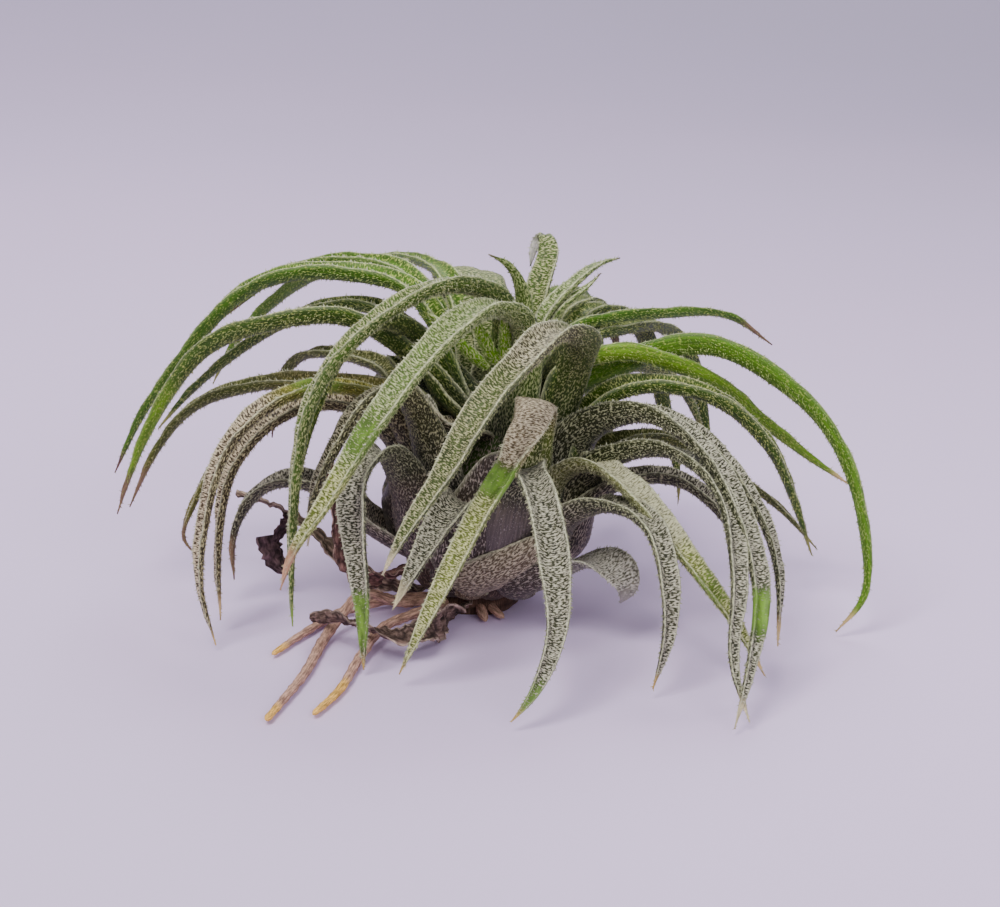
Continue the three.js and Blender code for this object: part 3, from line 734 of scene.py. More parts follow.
def new_group(name, **inputs):
    """An empty group that will make a surface, the maker of its nodes, what it is given and what
    it puts out."""
    group = bpy.data.node_groups.new(name, "ShaderNodeTree")
    for key, kind in inputs.items():
        group.interface.new_socket(key, in_out="INPUT", socket_type="NodeSocket" + kind)
    for key, kind in (("Color", "Color"), ("Roughness", "Float"), ("Height", "Float")):
        group.interface.new_socket(key, in_out="OUTPUT", socket_type="NodeSocket" + kind)
    n = Nodes(group)
    return group, n, n.add("NodeGroupInput").outputs, n.add("NodeGroupOutput").inputs


def new_material(name):
    """A material, the maker of its nodes and its shader's inputs."""
    material = bpy.data.materials.new(name)
    material.use_nodes = True
    return (material, Nodes(material.node_tree),
            material.node_tree.nodes["Principled BSDF"].inputs)


def scaly_skin_group():
    """Cover of small overlapping scales on flesh with fine streaks: a stretched noise, cut at
    a level that follows the cover, so that a thin cover is pale flecks, a middling one a maze
    and a thick one a felt with dark pits. Coordinates are millimetres round and along the leaf,
    stretched as the scales are."""
    group, n, given, out = new_group(
        "scaly skin", Skin="Vector", Flesh="Color", Scales="Color", Cover="Float")
    fleck = n.noise(given["Skin"], SCALES_PER_MM, 1.6, 0.5)
    patch = n.noise(given["Skin"], PATCHES_PER_MM, 2)
    cover = n.math("MULTIPLY_ADD", n.math("SUBTRACT", patch, 0.5), PATCHY, given["Cover"])
    level = n.math("MULTIPLY_ADD", cover, LEVEL_DROP, BARE_LEVEL)
    below, above = CUT_EDGE
    scale = n.ramp(fleck, n.math("SUBTRACT", level, below), n.math("ADD", level, above))
    bright = n.ramp(fleck, level, n.math("ADD", level, SCALE_INSIDE), *SCALE_LIGHT)
    streak = n.stretched_noise(given["Skin"], STREAKS_PER_MM, 3)
    flesh = n.between(n.ramp(streak, 0.3, 0.7), given["Flesh"], STREAK_TINTS)
    tint = n.add("ShaderNodeVectorMath", operation="SCALE")
    n.put(tint.inputs[0], given["Scales"])
    n.put(tint.inputs["Scale"], bright)
    n.put(out["Color"], n.blend(scale, flesh, tint.outputs[0]))
    n.put(out["Roughness"], n.ramp(scale, 0, 1, 0.5, 0.9))
    n.put(out["Height"], n.math("MULTIPLY_ADD", streak, 0.2, scale))
    return group


def fibre_group():
    """Dead fibrous tissue: long fine ridges, dark to light, and darker scars. Coordinates are
    millimetres round and along the piece."""
    group, n, given, out = new_group("fibres", Skin="Vector", Tint="Color", Contrast="Float")
    ridge = n.stretched_noise(given["Skin"], RIDGES_PER_MM, 5, 0.65)
    scar = n.ramp(n.stretched_noise(given["Skin"], SCARS_PER_MM, 4, 0.7), 0.5, 0.66)
    grain = n.between(n.ramp(ridge, 0.34, 0.66), given["Tint"], FIBRE_TINTS)
    dark = n.blend(1.0, given["Tint"], (*FIBRE_TINTS[0], 1), "MULTIPLY")
    n.put(out["Color"], n.blend(n.math("MULTIPLY", scar, given["Contrast"]), grain, dark))
    n.put(out["Roughness"], n.ramp(ridge, 0.3, 0.7, 0.75, 0.95))
    n.put(out["Height"], n.math("SUBTRACT", ridge, n.math("MULTIPLY", scar, 0.5)))
    return group


def leaf_material(name, skin, subsurface):
    """Living leaf: the scaly skin where the surface is skin, the plain scale colour on the
    raised scales themselves."""
    material, n, shader = new_material(name)
    hair, scales = n.attribute("hair", "Fac"), n.attribute("scales")
    surface = n.group(skin, {
        "Skin": n.skin_mm(), "Flesh": n.attribute("flesh"), "Scales": scales,
        "Cover": n.attribute("cover", "Fac")})
    n.put(shader["Base Color"], n.blend(hair, surface["Color"], scales))
    n.put(shader["Roughness"], n.ramp(hair, 0, 1, surface["Roughness"], 0.8))
    n.put(shader["Normal"], n.bump(surface["Height"], *SKIN_BUMP))
    shader["Specular IOR Level"].default_value = DULL
    shader["Subsurface Weight"].default_value = subsurface
    shader["Subsurface Radius"].default_value = FLESH_GLOW
    shader["Subsurface Scale"].default_value = GLOW_DEPTH * MM
    shader["Sheen Weight"].default_value = DOWN
    return material


def fibre_material(name, fibres, contrast, depth):
    """Dead tissue, coloured by the piece's tint attribute."""
    material, n, shader = new_material(name)
    surface = n.group(fibres, {
        "Skin": n.skin_mm(), "Tint": n.attribute("tint"), "Contrast": contrast})
    n.put(shader["Base Color"], surface["Color"])
    n.put(shader["Roughness"], surface["Roughness"])
    n.put(shader["Normal"], n.bump(surface["Height"], depth))
    shader["Specular IOR Level"].default_value = DULL
    return material


SKIN = scaly_skin_group()
FIBRES = fibre_group()
OLD_SKIN = leaf_material("old leaf", SKIN, 0.05)
YOUNG_SKIN = leaf_material("young leaf", SKIN, 0.12)
DRIED = fibre_material("dried leaf", FIBRES, 0.7, 0.16)
BARK = fibre_material("stem bark", FIBRES, 0.85, 0.14)
ROOT_SKIN = fibre_material("root skin", FIBRES, 0.4, 0.12)

# ---------------------------------------------------------------- leaves

LEAF_STEP = 0.9           # mm between a leaf's cross-sections
FEWEST_SECTIONS = 24
LEAF_SIDES = 22           # points round a leaf
EDGE_POWER = 6            # the higher, the nearer to its edge a leaf's waves stay
RIM_START = 0.94          # the pale rim starts at this share of the half width
RIM_COVER = 0.9
RIM_SCALES, RIM_FLESH = 0.6, 0.7  # how far the rim takes over from the other colours
RIM_DIM = 0.8             # brightness of the rim's flesh, as a share of its white
SHEATH_RIM = 0.55         # width of the pale rim of a sheath, in mm
END_RIM = 0.8             # and at a bare sheath's end
LOWER_COVER = 0.6         # the under face has this share of the upper face's cover
LOWER_COVERS = {"frosted": 0.95, "silver": 0.75}  # but more where the look is felted
SHEATH_COVER, SHEATH_TAKES = 0.5, 0.8  # cover of a sheath, and how far it takes over
UPPER_GRAIN = (0.58, 1.35)  # scale pattern across and along the channel: short cross rows
LOWER_GRAIN = (1.3, 0.55)  # and on the under face: long flecks

# Raised scales: values on the under face, where they are slim bristles, and in the channel,
# where they are flat flakes, then what the rim and a woolly crest add. Lengths are in mm,
# angles in radians.
RAISED = {
    "per_mm2": (5.2, 2.4, 3, 3),
    "length": (0.4, 0.26, 0.04, 0.06),
    "width": (0.075, 0.15, 0, 0),
    "tilt": (0.7, 0.3, 0.1, 0.15),
    "spread": (0.4, 0.9, 0, 0.3),
}
SLIMMER = 0.4             # at the rim and on wool they are slimmer by this share
SHEATH_FLATTENS = 0.5     # on a sheath they are shorter and flatter by this share
LEAST_COVER = 0.03        # none grow where the cover is less
WHITENESS = (0.12, 0.3, 0.3)  # how white they are, and what wool and the rim add

# How woolly the crest of a leaf is, by look, and how far along the leaf that reaches.
WOOL = {"frosted": 0.6, "silver": 0.6, "cream": 0.6, "leafy": 0.3}
USUAL_WOOL = 0.15
WOOL_REACH = 0.22


class LeafForm(NamedTuple):
    """A leaf's shape, by cross-section and by point round a section."""
    length: float           # mm along its middle line
    rings: np.ndarray       # points of each section
    s: np.ndarray           # place of each section along the leaf, 0 at the root to 1 at the tip
    sheath: np.ndarray      # how much of a sheath it is, 1 at the root to 0 along the blade
    width: np.ndarray       # mm across it, laid flat
    place: np.ndarray       # place of each point across the leaf, -1 to 1
    upper: np.ndarray       # whether it is on the upper face


def leaf_spine(tier, points):
    """Middle line, out of the stem, round the bulb, then through the leaf's own points, and its
    length."""
    outer = np.array(points[0], float)
    heading = outer - axis_at(outer[2])
    heading[2] = 0
    heading = unit(heading)
    out, height = tier["bulge"]
    root = axis_at(tier["root"]) + heading * ROOT_REACH
    bulge = axis_at(height) + heading * out
    return smooth_path([root, bulge, *points], LEAF_STEP, fewest=FEWEST_SECTIONS)


def leaf_form(rng, spine, length, tier, blade, flat_crest, roll, turn, blunt):
    """A channelled leaf. Round a section, the angle t gives the place across, a = -cos t, on an
    arc that opens upwards, and the lift above it, thickness (1 - sign(sin t) |sin t|^0.7) / 2,
    so that t below pi is the under face and t above it the channel. Along the leaf the broad
    sheath eases into the blade, which narrows to its tip. Near a flattened crest the arc opens
    flat, and past that it bends the other way."""
    s = np.linspace(0, 1, len(spine))
    chord = unit((spine[-1] - spine[0]) * (1, 1, 0))
    across, up = square_to(spine, np.array([-chord[1], chord[0], 0]))
    sheath = 1 - smoothstep(s * length / tier["sheath_length"])
    taper = (1 - s**TAPER_LATE) ** (BLUNT_TAPER if blunt else TAPER_FULL)
    wrap = tier["sheath"] * mix(SHEATH_START, 1, smoothstep(s * length / SHEATH_OPENS))
    width = np.maximum(mix(blade * mix(*BLADE_WIDENING, s), wrap, sheath) * taper, TIP_WIDTH)
    at, half, flatness, narrowing = flat_crest
    near_crest = 1 - smoothstep(np.abs(s - at) / half)
    width = width * (1 + WIDTH_WANDER * wander(rng, s * 4)) * (1 - narrowing * near_crest)
    fold = mix(BLADE_FOLD, SHEATH_FOLD, sheath) * (1 + FOLD_WANDER * wander(rng, s * 2))
    fold = fold * (1 - flatness * near_crest)
    thinner = np.minimum(1, width / NARROW_WIDTH + NARROW_THICKNESS)
    thickness = mix(LEAF_THICKNESS, TIP_THICKNESS, s**2) * thinner
    twist = TWIST_WANDER * wander(rng, s * 2) * smoothstep(s * 2)
    # the turn comes in over the first third, and goes from the arch's to the tip's after it
    turn = mix(*turn, smoothstep(s * 2 - 0.8)) * smoothstep(s * 3)
    across, up = turned(across, up, twist + roll * sheath + turn)
    t = angles_round(LEAF_SIDES)
    place = -np.cos(t)
    radius = (width / 2 / fold)[:, None]
    angle = place * fold[:, None]
    middle = radius * (1 - np.cos(fold))[:, None] / 2
    swell = np.sign(np.sin(t)) * np.abs(np.sin(t)) ** 0.7
    lift = thickness[:, None] * (1 - swell) / 2
    waves = np.stack([wander(rng, s * length / run) for run in FRILL_LENGTHS])
    frill = np.abs(place) ** EDGE_POWER * FRILL * waves[(place > 0).astype(int)].T
    x = (radius - lift) * np.sin(angle)
    y = radius - (radius - lift) * np.cos(angle) - middle + frill
    rings = carried(spine, across, up, x, y)
    return LeafForm(length, rings, s, sheath, width, place, np.sin(t) < -1e-6)


def skin_uv(rings, uv):
    """A leaf's UVs measured from the middle line of each face, then stretched by its grain."""
    half, quarter = LEAF_SIDES // 2, LEAF_SIDES // 4
    around = run_round(rings)
    middle = np.stack([around[:, k:k + 2].mean(1) for k in (quarter, half + quarter)], 1)
    face = (np.arange(LEAF_SIDES) >= half).astype(int)
    middle = middle[:, face]
    uv = uv.reshape(len(rings) - 1, LEAF_SIDES, 4, 2).copy()
    uv[:, :, :2, 0] -= middle[:-1, :, None]
    uv[:, :, 2:, 0] -= middle[1:, :, None]
    uv *= np.array([LOWER_GRAIN, UPPER_GRAIN])[face][None, :, None, :]
    return uv.reshape(-1, 2)


def leaf_rim(form, blunt):
    """How near each ring point is to the pale rim: 1 on it, 0 well inside."""
    inward = 1 - np.abs(form.place)
    rim = smoothstep((np.abs(form.place) - RIM_START) / (1 - RIM_START))[None, :]
    from_edge = inward[None, :] * form.width[:, None] / 2
    rim = np.maximum(rim, form.sheath[:, None] * (1 - smoothstep(from_edge / SHEATH_RIM)))
    if blunt:
        to_end = (1 - form.s) * form.length
        rim = np.maximum(rim, 1 - smoothstep(to_end / END_RIM)[:, None])
    return rim


def leaf_paint(name, look, tip, tier_name, form, rim):
    """Flesh colour, scale colour and cover at each ring point."""
    s, upper = form.s, form.upper
    grid = np.ones((len(s), len(upper), 1))
    flesh, scales, cover = (value * grid for value in LOOKS[look])
    if name in STRETCHES:
        start, end, other = STRETCHES[name]
        share = smoothstep((s - start) / STRETCH_EDGE) * (1 - smoothstep((s - end) / STRETCH_EDGE))
        flesh, scales, cover = (
            mix(a, b, share[:, None, None]) for a, b in zip((flesh, scales, cover), LOOKS[other]))
    takes = OWN_SHARE if name in OWN_SHEATHS or tier_name in OWN_TIERS else 1
    fade_start = FADE_START.get(tier_name, USUAL_FADE_START)
    at_sheath = smoothstep((form.sheath - fade_start) / SHEATH_FADE)[:, None, None]
    sheath_flesh, sheath_scales = SHEATH_LOOKS.get(tier_name, OLD_SHEATH)
    # the under face's flesh is darkened here as painted shade
    flesh = mix(flesh, sheath_flesh, at_sheath * takes) * mix(UNDER_PAINTED_SHADE, 1.0, upper[None, :, None])
    scales = mix(scales, sheath_scales, at_sheath * takes)
    # painted shade in the crevices round the stem, darkest at a leaf's root
    if tier_name in PAINTED_SHADE_TIERS:
        shade = mix(ROOT_PAINTED_SHADE, 1, smoothstep(s * form.length / ROOT_PAINTED_SHADE_END))[:, None, None]
        flesh, scales = flesh * shade, scales * shade
    # past the sheath the under face loses blue against the floor's lilac light, and its scales darken
    # as painted shade
    if tier_name in UNDER_TIERS:
        under = np.where(upper, 0, 1)[None, :, None] * (1 - at_sheath)
        flesh = flesh * mix(1, UNDER_FLESH, under)
        scales = scales * mix(1, UNDER_SCALES, under)
    scales = mix(scales, RIM_WHITE, RIM_SCALES * rim[..., None])
    flesh = mix(flesh, RIM_WHITE * RIM_DIM, RIM_FLESH * rim[..., None])
    dry_length = TIP_LENGTH.get(tip, USUAL_TIP) * (HEART_TIP if tier_name == "heart" else 1)
    dry = smoothstep((s * form.length - (form.length - dry_length)) / TIP_EDGE)[:, None, None]
    flesh = mix(flesh, TIPS[tip], dry)
    scales = mix(scales, mix(TIPS[tip], scales, TIP_SCALES), dry)
    cover = cover[..., 0] * np.where(upper, 1, LOWER_COVERS.get(look, LOWER_COVER))[None, :]
    cover = mix(cover, SHEATH_COVER, SHEATH_TAKES * form.sheath[:, None] * takes)
    cover = np.maximum(cover, RIM_COVER * rim) * mix(1.0, TIP_COVER, dry[..., 0])
    if name in BARE_PATCHES:
        centre, half, strength = BARE_PATCHES[name]
        bare = strength * (1 - smoothstep((np.abs(s - centre) - half) / PATCH_EDGE)[:, None])
        flesh = mix(flesh, BARE_GREEN, bare[..., None])
        cover = cover * (1 - bare)
    return flesh, scales, cover


def leaf_scales(rng, look, crest, form, scales, cover, rim):
    """The leaf's raised scales, longer and closer at the rim and on the wool round its crest."""
    wool = WOOL.get(look, USUAL_WOOL) * (1 - smoothstep(np.abs(form.s - crest) / WOOL_REACH))
    wool = wool[:, None]
    face = form.upper[None, :] * np.ones(cover.shape)
    sizes = {key: mix(under, channel, face) + at_rim * rim + on_wool * wool
             for key, (under, channel, at_rim, on_wool) in RAISED.items()}
    flat = 1 - SHEATH_FLATTENS * form.sheath[:, None]
    sizes["per_mm2"] = (cover > LEAST_COVER) * sizes["per_mm2"]
    sizes["width"] = sizes["width"] * (1 - SLIMMER * np.maximum(wool, rim))
    for key in ("length", "tilt"):
        sizes[key] = sizes[key] * flat
    base, on_wool, at_rim = WHITENESS
    white = (base + on_wool * wool + at_rim * rim)[..., None]
    sizes["tint"] = mix(scales, HAIR_WHITE, white)
    return grow_scales(rng, form.rings, **{key: value[:-1] for key, value in sizes.items()})


def make_leaf(name, row, seed, young):
    """One leaf or sheath from its row: its shape, its colours and its raised scales."""
    tier_name, blade, look, tip, *points = row
    rng = np.random.default_rng(seed)
    tier = TIERS[tier_name]
    spine, length = leaf_spine(tier, points)
    blunt = tip == "none"
    form = leaf_form(rng, spine, length, tier, blade, FLAT_CRESTS.get(name, NO_FLAT_CREST),
                     ROLLS.get(name, 0), TURNS.get(name, (0, 0)), blunt)
    rim = leaf_rim(form, blunt)
    flesh, scales, cover = leaf_paint(name, look, tip, tier_name, form, rim)
    points, quads, triangles, uv = close_tube(form.rings, run_round(form.rings))
    uv[:quads.size] = skin_uv(form.rings, uv[:quads.size])
    crest = form.s[np.argmax(spine[:, 2])]
    hairs, hair_faces, hair_tint = leaf_scales(rng, look, crest, form, scales, cover, rim)
    no_hair = np.zeros(len(hairs))
    colours = {
        "flesh": np.vstack([tube_values(flesh), np.zeros((len(hairs), 3))]),
        "scales": np.vstack([tube_values(scales), hair_tint]),
    }
    shares = {
        "cover": np.concatenate([tube_values(cover), no_hair]),
        "hair": np.concatenate([np.zeros(len(points)), no_hair + 1]),
    }
    build_piece(
        name, np.vstack([points, hairs]), quads, np.vstack([triangles, hair_faces + len(points)]),
        np.vstack([uv, np.zeros((hair_faces.size, 2))]), YOUNG_SKIN if young else OLD_SKIN,
        "young_leaves" if young else "old_leaves",
        colours, shares)


def bare_sheath_row(tier_name, width, degrees, reach, height, look):
    """A low sheath with no blade, as a leaf's row."""
    heading = math.radians(degrees)
    end = axis_at(height) + np.array([math.cos(heading), math.sin(heading), 0]) * reach
    return (tier_name, width, look, "none", tuple(end))


def husk_rows():
    """Rows of the papery scales, evenly round the base but for a random part."""
    rng = np.random.default_rng(SEEDS["husk ring"])
    for k in range(HUSK_SCALES):
        degrees = (k + rng.uniform(-0.25, 0.25)) * 360 / HUSK_SCALES
        look = ("husk", "mauve", "chaff")[k % 3]
        yield bare_sheath_row("husk", HUSK_WIDTH, degrees, rng.uniform(*HUSK_REACH),
                              rng.uniform(*HUSK_HEIGHT), look)


def make_leaves():
    for k, row in enumerate(OLD_LEAVES):
        make_leaf(f"old_leaf_{k + 1:02d}", row, SEEDS["old leaf"] + k, False)
    for k, row in enumerate(BARE_SHEATHS):
        row = bare_sheath_row("bare", BARE_SHEATH_WIDTH, *row)
        make_leaf(f"bare_sheath_{k + 1}", row, SEEDS["bare sheath"] + k, False)
    for k, row in enumerate(husk_rows()):
        make_leaf(f"bare_husk_{k + 1:02d}", row, SEEDS["husk"] + k, False)
    for k, row in enumerate(LOOSE_SHEATHS):
        make_leaf(f"loose_sheath_{k + 1}", row, SEEDS["loose sheath"] + k, row[0] == "inner")
    for k, row in enumerate(YOUNG_LEAVES):
        make_leaf(f"young_leaf_{k + 1:02d}", row, SEEDS["young leaf"] + k, True)


# ---------------------------------------------------------------- stem, bulb, dried leaves, roots

TURNED_SIDES, TURNED_LEVELS = 72, 60
LOBES = ((5, 0.02), (11, 0.015))  # waves round the stem and bulb, and their share of the radius
SCAR_WAVES = 4.5          # waves of the ring scars, in radians for each mm of height
SCAR_RELIEF, SCAR_SHADE = 0.012, 0.25  # their shares of the radius and of the brightness
GREEN_FROM, GREEN_OVER = 8, 10  # the bulb turns green above this height, over these mm
GREEN_PAINTED_SHADE, SCALES_PAINTED_SHADE = 0.7, 0.8  # brightness of the sheaths' colours on it, dimmed as painted shade deep in the rosette
BARK_SCALES = 1.6         # brightness of its scales where it is brown
BULB_COVER = 0.4

DRIED_STEP, DRIED_SIDES = 0.45, 28
DRIED_ROLL = 0.5          # radians by which a dried leaf is turned where it starts
DRIED_WANDER = {"twist": 0.35, "width": 0.16, "curl": 0.6, "shade": 0.2}  # shares, and radians
DRIED_TAPER = 0.35        # a dried leaf's width at its end, as a share
DRIED_THICKNESS, DRIED_THINS = 0.34, 0.7  # half its thickness in mm, and the share at its end
RIDGES = (5, 9, 13)       # ridges round it
RIDGE_RELIEF = 0.12
CRINKLE, CRINKLE_LENGTH = 0.24, 2.2  # mm up and down, and mm along
GUTTER = 0.28             # how far its edges curl up, as a share of the half width
SURFACE_GAP = 0.05        # mm that it stays above the surface
DRIED_MOTTLE_AND_RELIEF_SHADE = (0.4, 1.75)  # its darkest and lightest specks: random mottle, with painted light on its ridges and painted shade in its furrows

ROOT_STEP, ROOT_SIDES = 0.5, 16
ROOT_TAPER = 0.6          # a root's radius at its tip, as a share, before it rounds off
ROOT_ROUNDS = 0.9         # mm over which it rounds off
ROOT_TIP_EDGE = 3         # mm over which the golden tip comes in
ROOT_SLIM = 0.95          # it is this share of its row's radius, before what makes it rough:
ROOT_SWELLS, ROOT_SWELL_LENGTH = 0.1, 3  # slow swellings, as a share, and mm along for one
ROOT_BUMPS = 0.05         # and bumps, as a share


def tinted_piece(name, rings, tint, material, node):
    """A closed tube with one colour per ring point."""
    points, quads, triangles, uv = close_tube(rings)
    build_piece(name, points, quads, triangles, uv, material, node,
                {"tint": tube_values(tint)}, {})


def turned_rings(profile, lean, seed):
    """A body of rotation round the leaning axis: at height z and angle t the radius is the
    outline's, times 1 + a few percent of lobes and ring scars."""
    rng = np.random.default_rng(seed)
    outline = np.array(profile, float)
    z = np.linspace(outline[0, 1], outline[-1, 1], TURNED_LEVELS)
    radius = np.interp(z, outline[:, 1], outline[:, 0])
    t = angles_round(TURNED_SIDES)
    lobes = sum(height * np.sin(waves * t + rng.random() * 6) for waves, height in LOBES)
    scars = SCAR_RELIEF * np.sin(z * SCAR_WAVES)
    r = radius[:, None] * (1 + lobes[None] + scars[:, None])
    x = r * np.cos(t) + (lean * z)[:, None]
    y = r * np.sin(t)
    return np.stack([x, y, np.broadcast_to(z[:, None], x.shape)], -1)


def stem():
    rings = turned_rings(STEM_PROFILE, 0, SEEDS["stem"])
    shade = 1 + SCAR_SHADE * np.sin(rings[..., 2:] * SCAR_WAVES)
    tinted_piece("stem", rings, STEM_BARK * shade, BARK, "stem_and_roots")


def bulb_core():
    """The middle of the bulb, brown below and dark green where the young leaves rise, that green
    dimmed as painted shade.
    """
    points, quads, triangles, uv = close_tube(turned_rings(BULB_PROFILE, LEAN, SEEDS["bulb"]))
    high = smoothstep((points[:, 2] - GREEN_FROM) / GREEN_OVER)[:, None]
    # the sheaths' colours on the upper part are dimmed as painted shade deep in the rosette
    colours = {
        "flesh": mix(BULB_BARK, YOUNG_SHEATH[0] * GREEN_PAINTED_SHADE, high),
        "scales": mix(BULB_BARK * BARK_SCALES, OLD_SHEATH[1] * SCALES_PAINTED_SHADE, high),
    }
    shares = {"cover": np.full(len(points), BULB_COVER), "hair": np.zeros(len(points))}
    build_piece("bulb_core", points, quads, triangles, uv * LOWER_GRAIN, OLD_SKIN,
                "old_leaves", colours, shares)


def dried_leaf(name, node, width, twist, look, points, seed):
    """A shrivelled strap: a flat oval section, bent to a shallow gutter and crinkled by a few
    ridges that drift round it, on a line that it twists along. Where it would dip under the
    surface that the plant stands on, it lies on it."""
    rng = np.random.default_rng(seed)
    spine, length = smooth_path(points, DRIED_STEP, 10)
    s = np.linspace(0, 1, len(spine))
    across, up = square_to(spine, np.array([0, 0, 1.0]))
    angle = DRIED_ROLL + twist * 2 * math.pi * s + DRIED_WANDER["twist"] * wander(rng, s * 5)
    across, up = turned(up, -across, angle)
    t = angles_round(DRIED_SIDES)
    half = width / 2 * mix(1, DRIED_TAPER, s**2) * (1 + DRIED_WANDER["width"] * wander(rng, s * 7))
    half = half[:, None]
    thick = DRIED_THICKNESS * mix(1, DRIED_THINS, s)[:, None]
    ridges = sum(RIDGE_RELIEF * np.sin(k * t[None] + 5 * wander(rng, s * 3)[:, None])
                 for k in RIDGES)
    crinkle = CRINKLE * wander(rng, s * length / CRINKLE_LENGTH)[:, None]
    curl = GUTTER * half * np.cos(t) ** 2
    curl = curl * (1 + DRIED_WANDER["curl"] * wander(rng, s * 6))[:, None]
    y = -thick * np.sin(t) * (1 + ridges * 2) + curl + crinkle * (1 + ridges)
    rings = carried(spine, across, up, half * -np.cos(t), y)
    rings[..., 2] = np.maximum(rings[..., 2], SURFACE_GAP + 0.02 * np.abs(np.cos(t)))
    body, rim = DRIED_LOOKS[look]
    pale = smoothstep((np.abs(np.cos(t)) - 0.75) / 0.2)[None, :, None] * 0.8
    blotch = rng.normal(0, 0.5, (len(s), DRIED_SIDES))
    blotch = (blotch + np.roll(blotch, 1, 1) + np.roll(blotch, 1, 0) * 0.6) / 1.6
    # random blotches, plus painted light on the ridges and painted shade in the furrows between them
    mottle_and_relief_shade = mix(*DRIED_MOTTLE_AND_RELIEF_SHADE, smoothstep(0.5 + blotch + ridges * 2))[..., None]
    shade = (1 + DRIED_WANDER["shade"] * wander(rng, s * 8))[:, None, None]
    tint = mix(body, rim, pale) * mottle_and_relief_shade * shade
    tinted_piece(name, rings, tint, DRIED, node)


def root(name, radius, golden, points, seed):
    """A rough root: a round tube whose radius swells and shrinks at random, with a pale tip."""
    rng = np.random.default_rng(seed)
    spine, length = smooth_path(points, ROOT_STEP, 10)
    s = np.linspace(0, 1, len(spine))
    across, up = square_to(spine, np.array([0, 0, 1.0]))
    t = angles_round(ROOT_SIDES)
    rounds = np.sqrt(np.clip((1 - s) * length / ROOT_ROUNDS, 0.02, 1))
    taper = mix(1, ROOT_TAPER, s**3) * rounds
    rough = 1 + ROOT_SWELLS * wander(rng, s * length / ROOT_SWELL_LENGTH)[:, None]
    rough = rough + ROOT_BUMPS * rng.normal(size=(len(s), ROOT_SIDES))
    r = radius * ROOT_SLIM * taper[:, None] * rough
    rings = carried(spine, across, up, r * np.cos(t), r * np.sin(t))
    pale = smoothstep((s * length - (length - golden)) / ROOT_TIP_EDGE)[:, None, None]
    tint = mix(ROOT_BARK, ROOT_TIP, pale) * np.ones((1, ROOT_SIDES, 1))
    tinted_piece(name, rings, tint, ROOT_SKIN, "stem_and_roots")


def make_base():
    stem()
    bulb_core()
    for k, (width, twist, look, *points) in enumerate(DRIED_LEAVES):
        name = f"dried_leaf_{k + 1}"
        dried_leaf(name, name, width, twist, look, points, SEEDS["dried leaf"] + k)
    for k, (width, twist, look, *points) in enumerate(FLAKES):
        dried_leaf(f"dried_flake_{k + 1}", "dried_leaf_2", width, twist, look, points,
                   SEEDS["flake"] + k)
    for k, (radius, golden, *points) in enumerate(ROOTS):
        root(f"root_{k + 1}", radius, golden, points, SEEDS["root"] + k)


# ---------------------------------------------------------------- stage, in metres

# Lights: place, target, diameter, power in watts, colour.
LIGHTS = {
    "key": ((-0.25, -0.45, 0.75), (0, 0, 0.02), 0.45, 8, (1.0, 0.98, 0.96)),
    "fill": ((0.3, -0.65, 0.42), (0, 0, 0.02), 0.5, 3.4, (0.98, 0.98, 1.0)),
    "back": ((0.1, 0.55, 0.6), (0, 0, 0.03), 0.5, 4, (1.0, 1.0, 1.0)),
}
ROOM_COLOUR, ROOM_LIGHT = (0.86, 0.84, 0.92, 1), 0.46

# The floor runs flat from its front edge to where it curves up, and ends at its top.
FLOOR_REACH = 1.6         # to each side
FLOOR_FRONT = -1.2
FLOOR_CURVES = 0.35
FLOOR_RADIUS = 0.5
FLOOR_TOP = 1.1
# Its lilac colour with painted light and shade, from the front right to the back left: a middle band
# painted brightest and the back painted darkest. Then how far +X and a noise count as away.
FLOOR_COLOURS_AND_PAINTED_LIGHT = (0.6, 0.5, 0.71, 1), (0.73, 0.578, 0.87, 1), (0.325, 0.283, 0.405, 1)
FLOOR_SLANT, FLOOR_CLOUDS = 0.6, 0.06
FLOOR_MIDDLE_FROM, FLOOR_MIDDLE_TO = -0.2, 0.1
FLOOR_BACK_FROM, FLOOR_BACK_TO = 0.05, 0.6

CAMERA_DISTANCE = 0.4
CAMERA_PITCH = math.radians(18)
CAMERA_TARGET = (0.0036, 0, 0.0226)
CAMERA_LENS, CAMERA_SENSOR = 100, 36  # mm


def area_light(name, place, target, size, power, colour):
    """A round lamp that faces its target."""
    light = bpy.data.lights.new(name, "AREA")
    light.shape = "DISK"
    light.size = size
    light.energy = power
    light.color = colour
    lamp = add_object(name, light)
    lamp.location = place
    toward = Vector(target) - Vector(place)
    lamp.rotation_euler = toward.to_track_quat("-Z", "Y").to_euler()


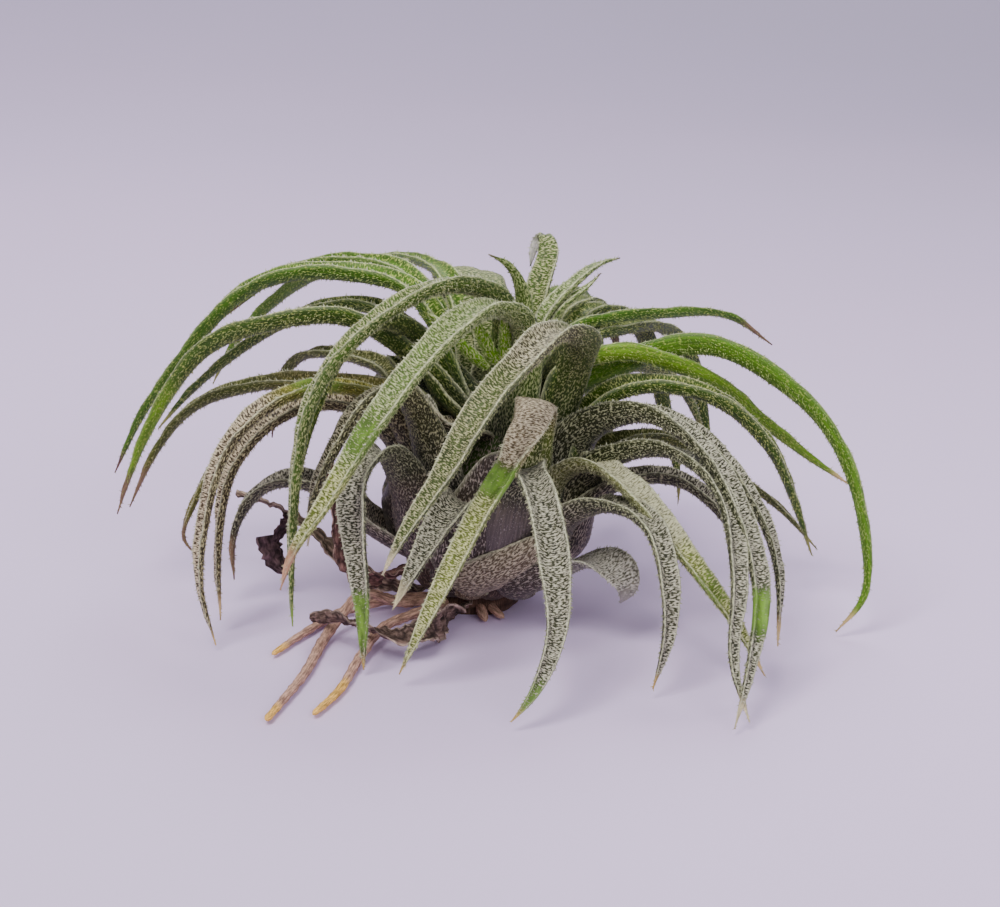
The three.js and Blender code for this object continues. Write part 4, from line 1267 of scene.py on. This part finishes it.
def floor_material():
    """A pale lilac with painted light and shade, brightest in a middle band and darkening to the back,
    by a sum of the places along Y and X and a slow noise."""
    material, n, shader = new_material("pale floor")
    place = n.add("ShaderNodeTexCoord").outputs["Object"]
    parts = n.add("ShaderNodeSeparateXYZ")
    n.put(parts.inputs[0], place)
    away = n.math("MULTIPLY_ADD", n.noise(place, 6.0, 2), FLOOR_CLOUDS, parts.outputs["Y"])
    away = n.math("MULTIPLY_ADD", parts.outputs["X"], FLOOR_SLANT, away)
    # the front, middle and back colours carry painted light and shade: the middle band brightest, the
    # back darkest
    front, middle, back = FLOOR_COLOURS_AND_PAINTED_LIGHT
    near = n.blend(n.ramp(away, FLOOR_MIDDLE_FROM, FLOOR_MIDDLE_TO), front, middle)
    far = n.ramp(away, FLOOR_BACK_FROM, FLOOR_BACK_TO)
    n.put(shader["Base Color"], n.blend(far, near, back))
    shader["Roughness"].default_value = 0.9
    return material


def stage_floor():
    """A pale sweep: flat under the plant, then rising in a wide curve behind it."""
    a = np.linspace(0, math.pi / 2, 24)
    y = np.concatenate([
        [FLOOR_FRONT], FLOOR_CURVES + FLOOR_RADIUS * np.sin(a), [FLOOR_CURVES + FLOOR_RADIUS]])
    z = np.concatenate([[0], FLOOR_RADIUS * (1 - np.cos(a)), [FLOOR_TOP]])
    edges = [np.column_stack([np.full(len(y), x), y, z]) for x in (-FLOOR_REACH, FLOOR_REACH)]
    i = np.arange(len(y) - 1)
    faces = np.stack([i, i + len(y), i + len(y) + 1, i + 1], 1)
    mesh = bpy.data.meshes.new("floor")
    mesh.from_pydata(np.vstack(edges).tolist(), [], faces.tolist())
    mesh.polygons.foreach_set("use_smooth", np.ones(len(faces), bool))
    mesh.materials.append(floor_material())
    floor = add_object("floor", mesh)


def make_stage():
    stage_floor()
    for name, settings in LIGHTS.items():
        area_light(name, *settings)
    world = bpy.data.worlds.new("studio")
    world.use_nodes = True
    background = world.node_tree.nodes["Background"].inputs
    background["Color"].default_value = ROOM_COLOUR
    background["Strength"].default_value = ROOM_LIGHT
    bpy.context.scene.world = world


def make_camera():
    """The photograph's view: level with +Y, a little from above."""
    camera = bpy.data.cameras.new("camera")
    camera.lens = CAMERA_LENS
    camera.sensor_width = CAMERA_SENSOR
    camera.clip_start = 0.01
    eye = add_object("camera", camera)
    x, y, z = CAMERA_TARGET
    eye.location = (
        x, y - CAMERA_DISTANCE * math.cos(CAMERA_PITCH), z + CAMERA_DISTANCE * math.sin(CAMERA_PITCH))
    eye.rotation_euler = (math.pi / 2 - CAMERA_PITCH, 0, 0)
    bpy.context.scene.camera = eye


make_camera()
make_base()
make_leaves()
make_stage()
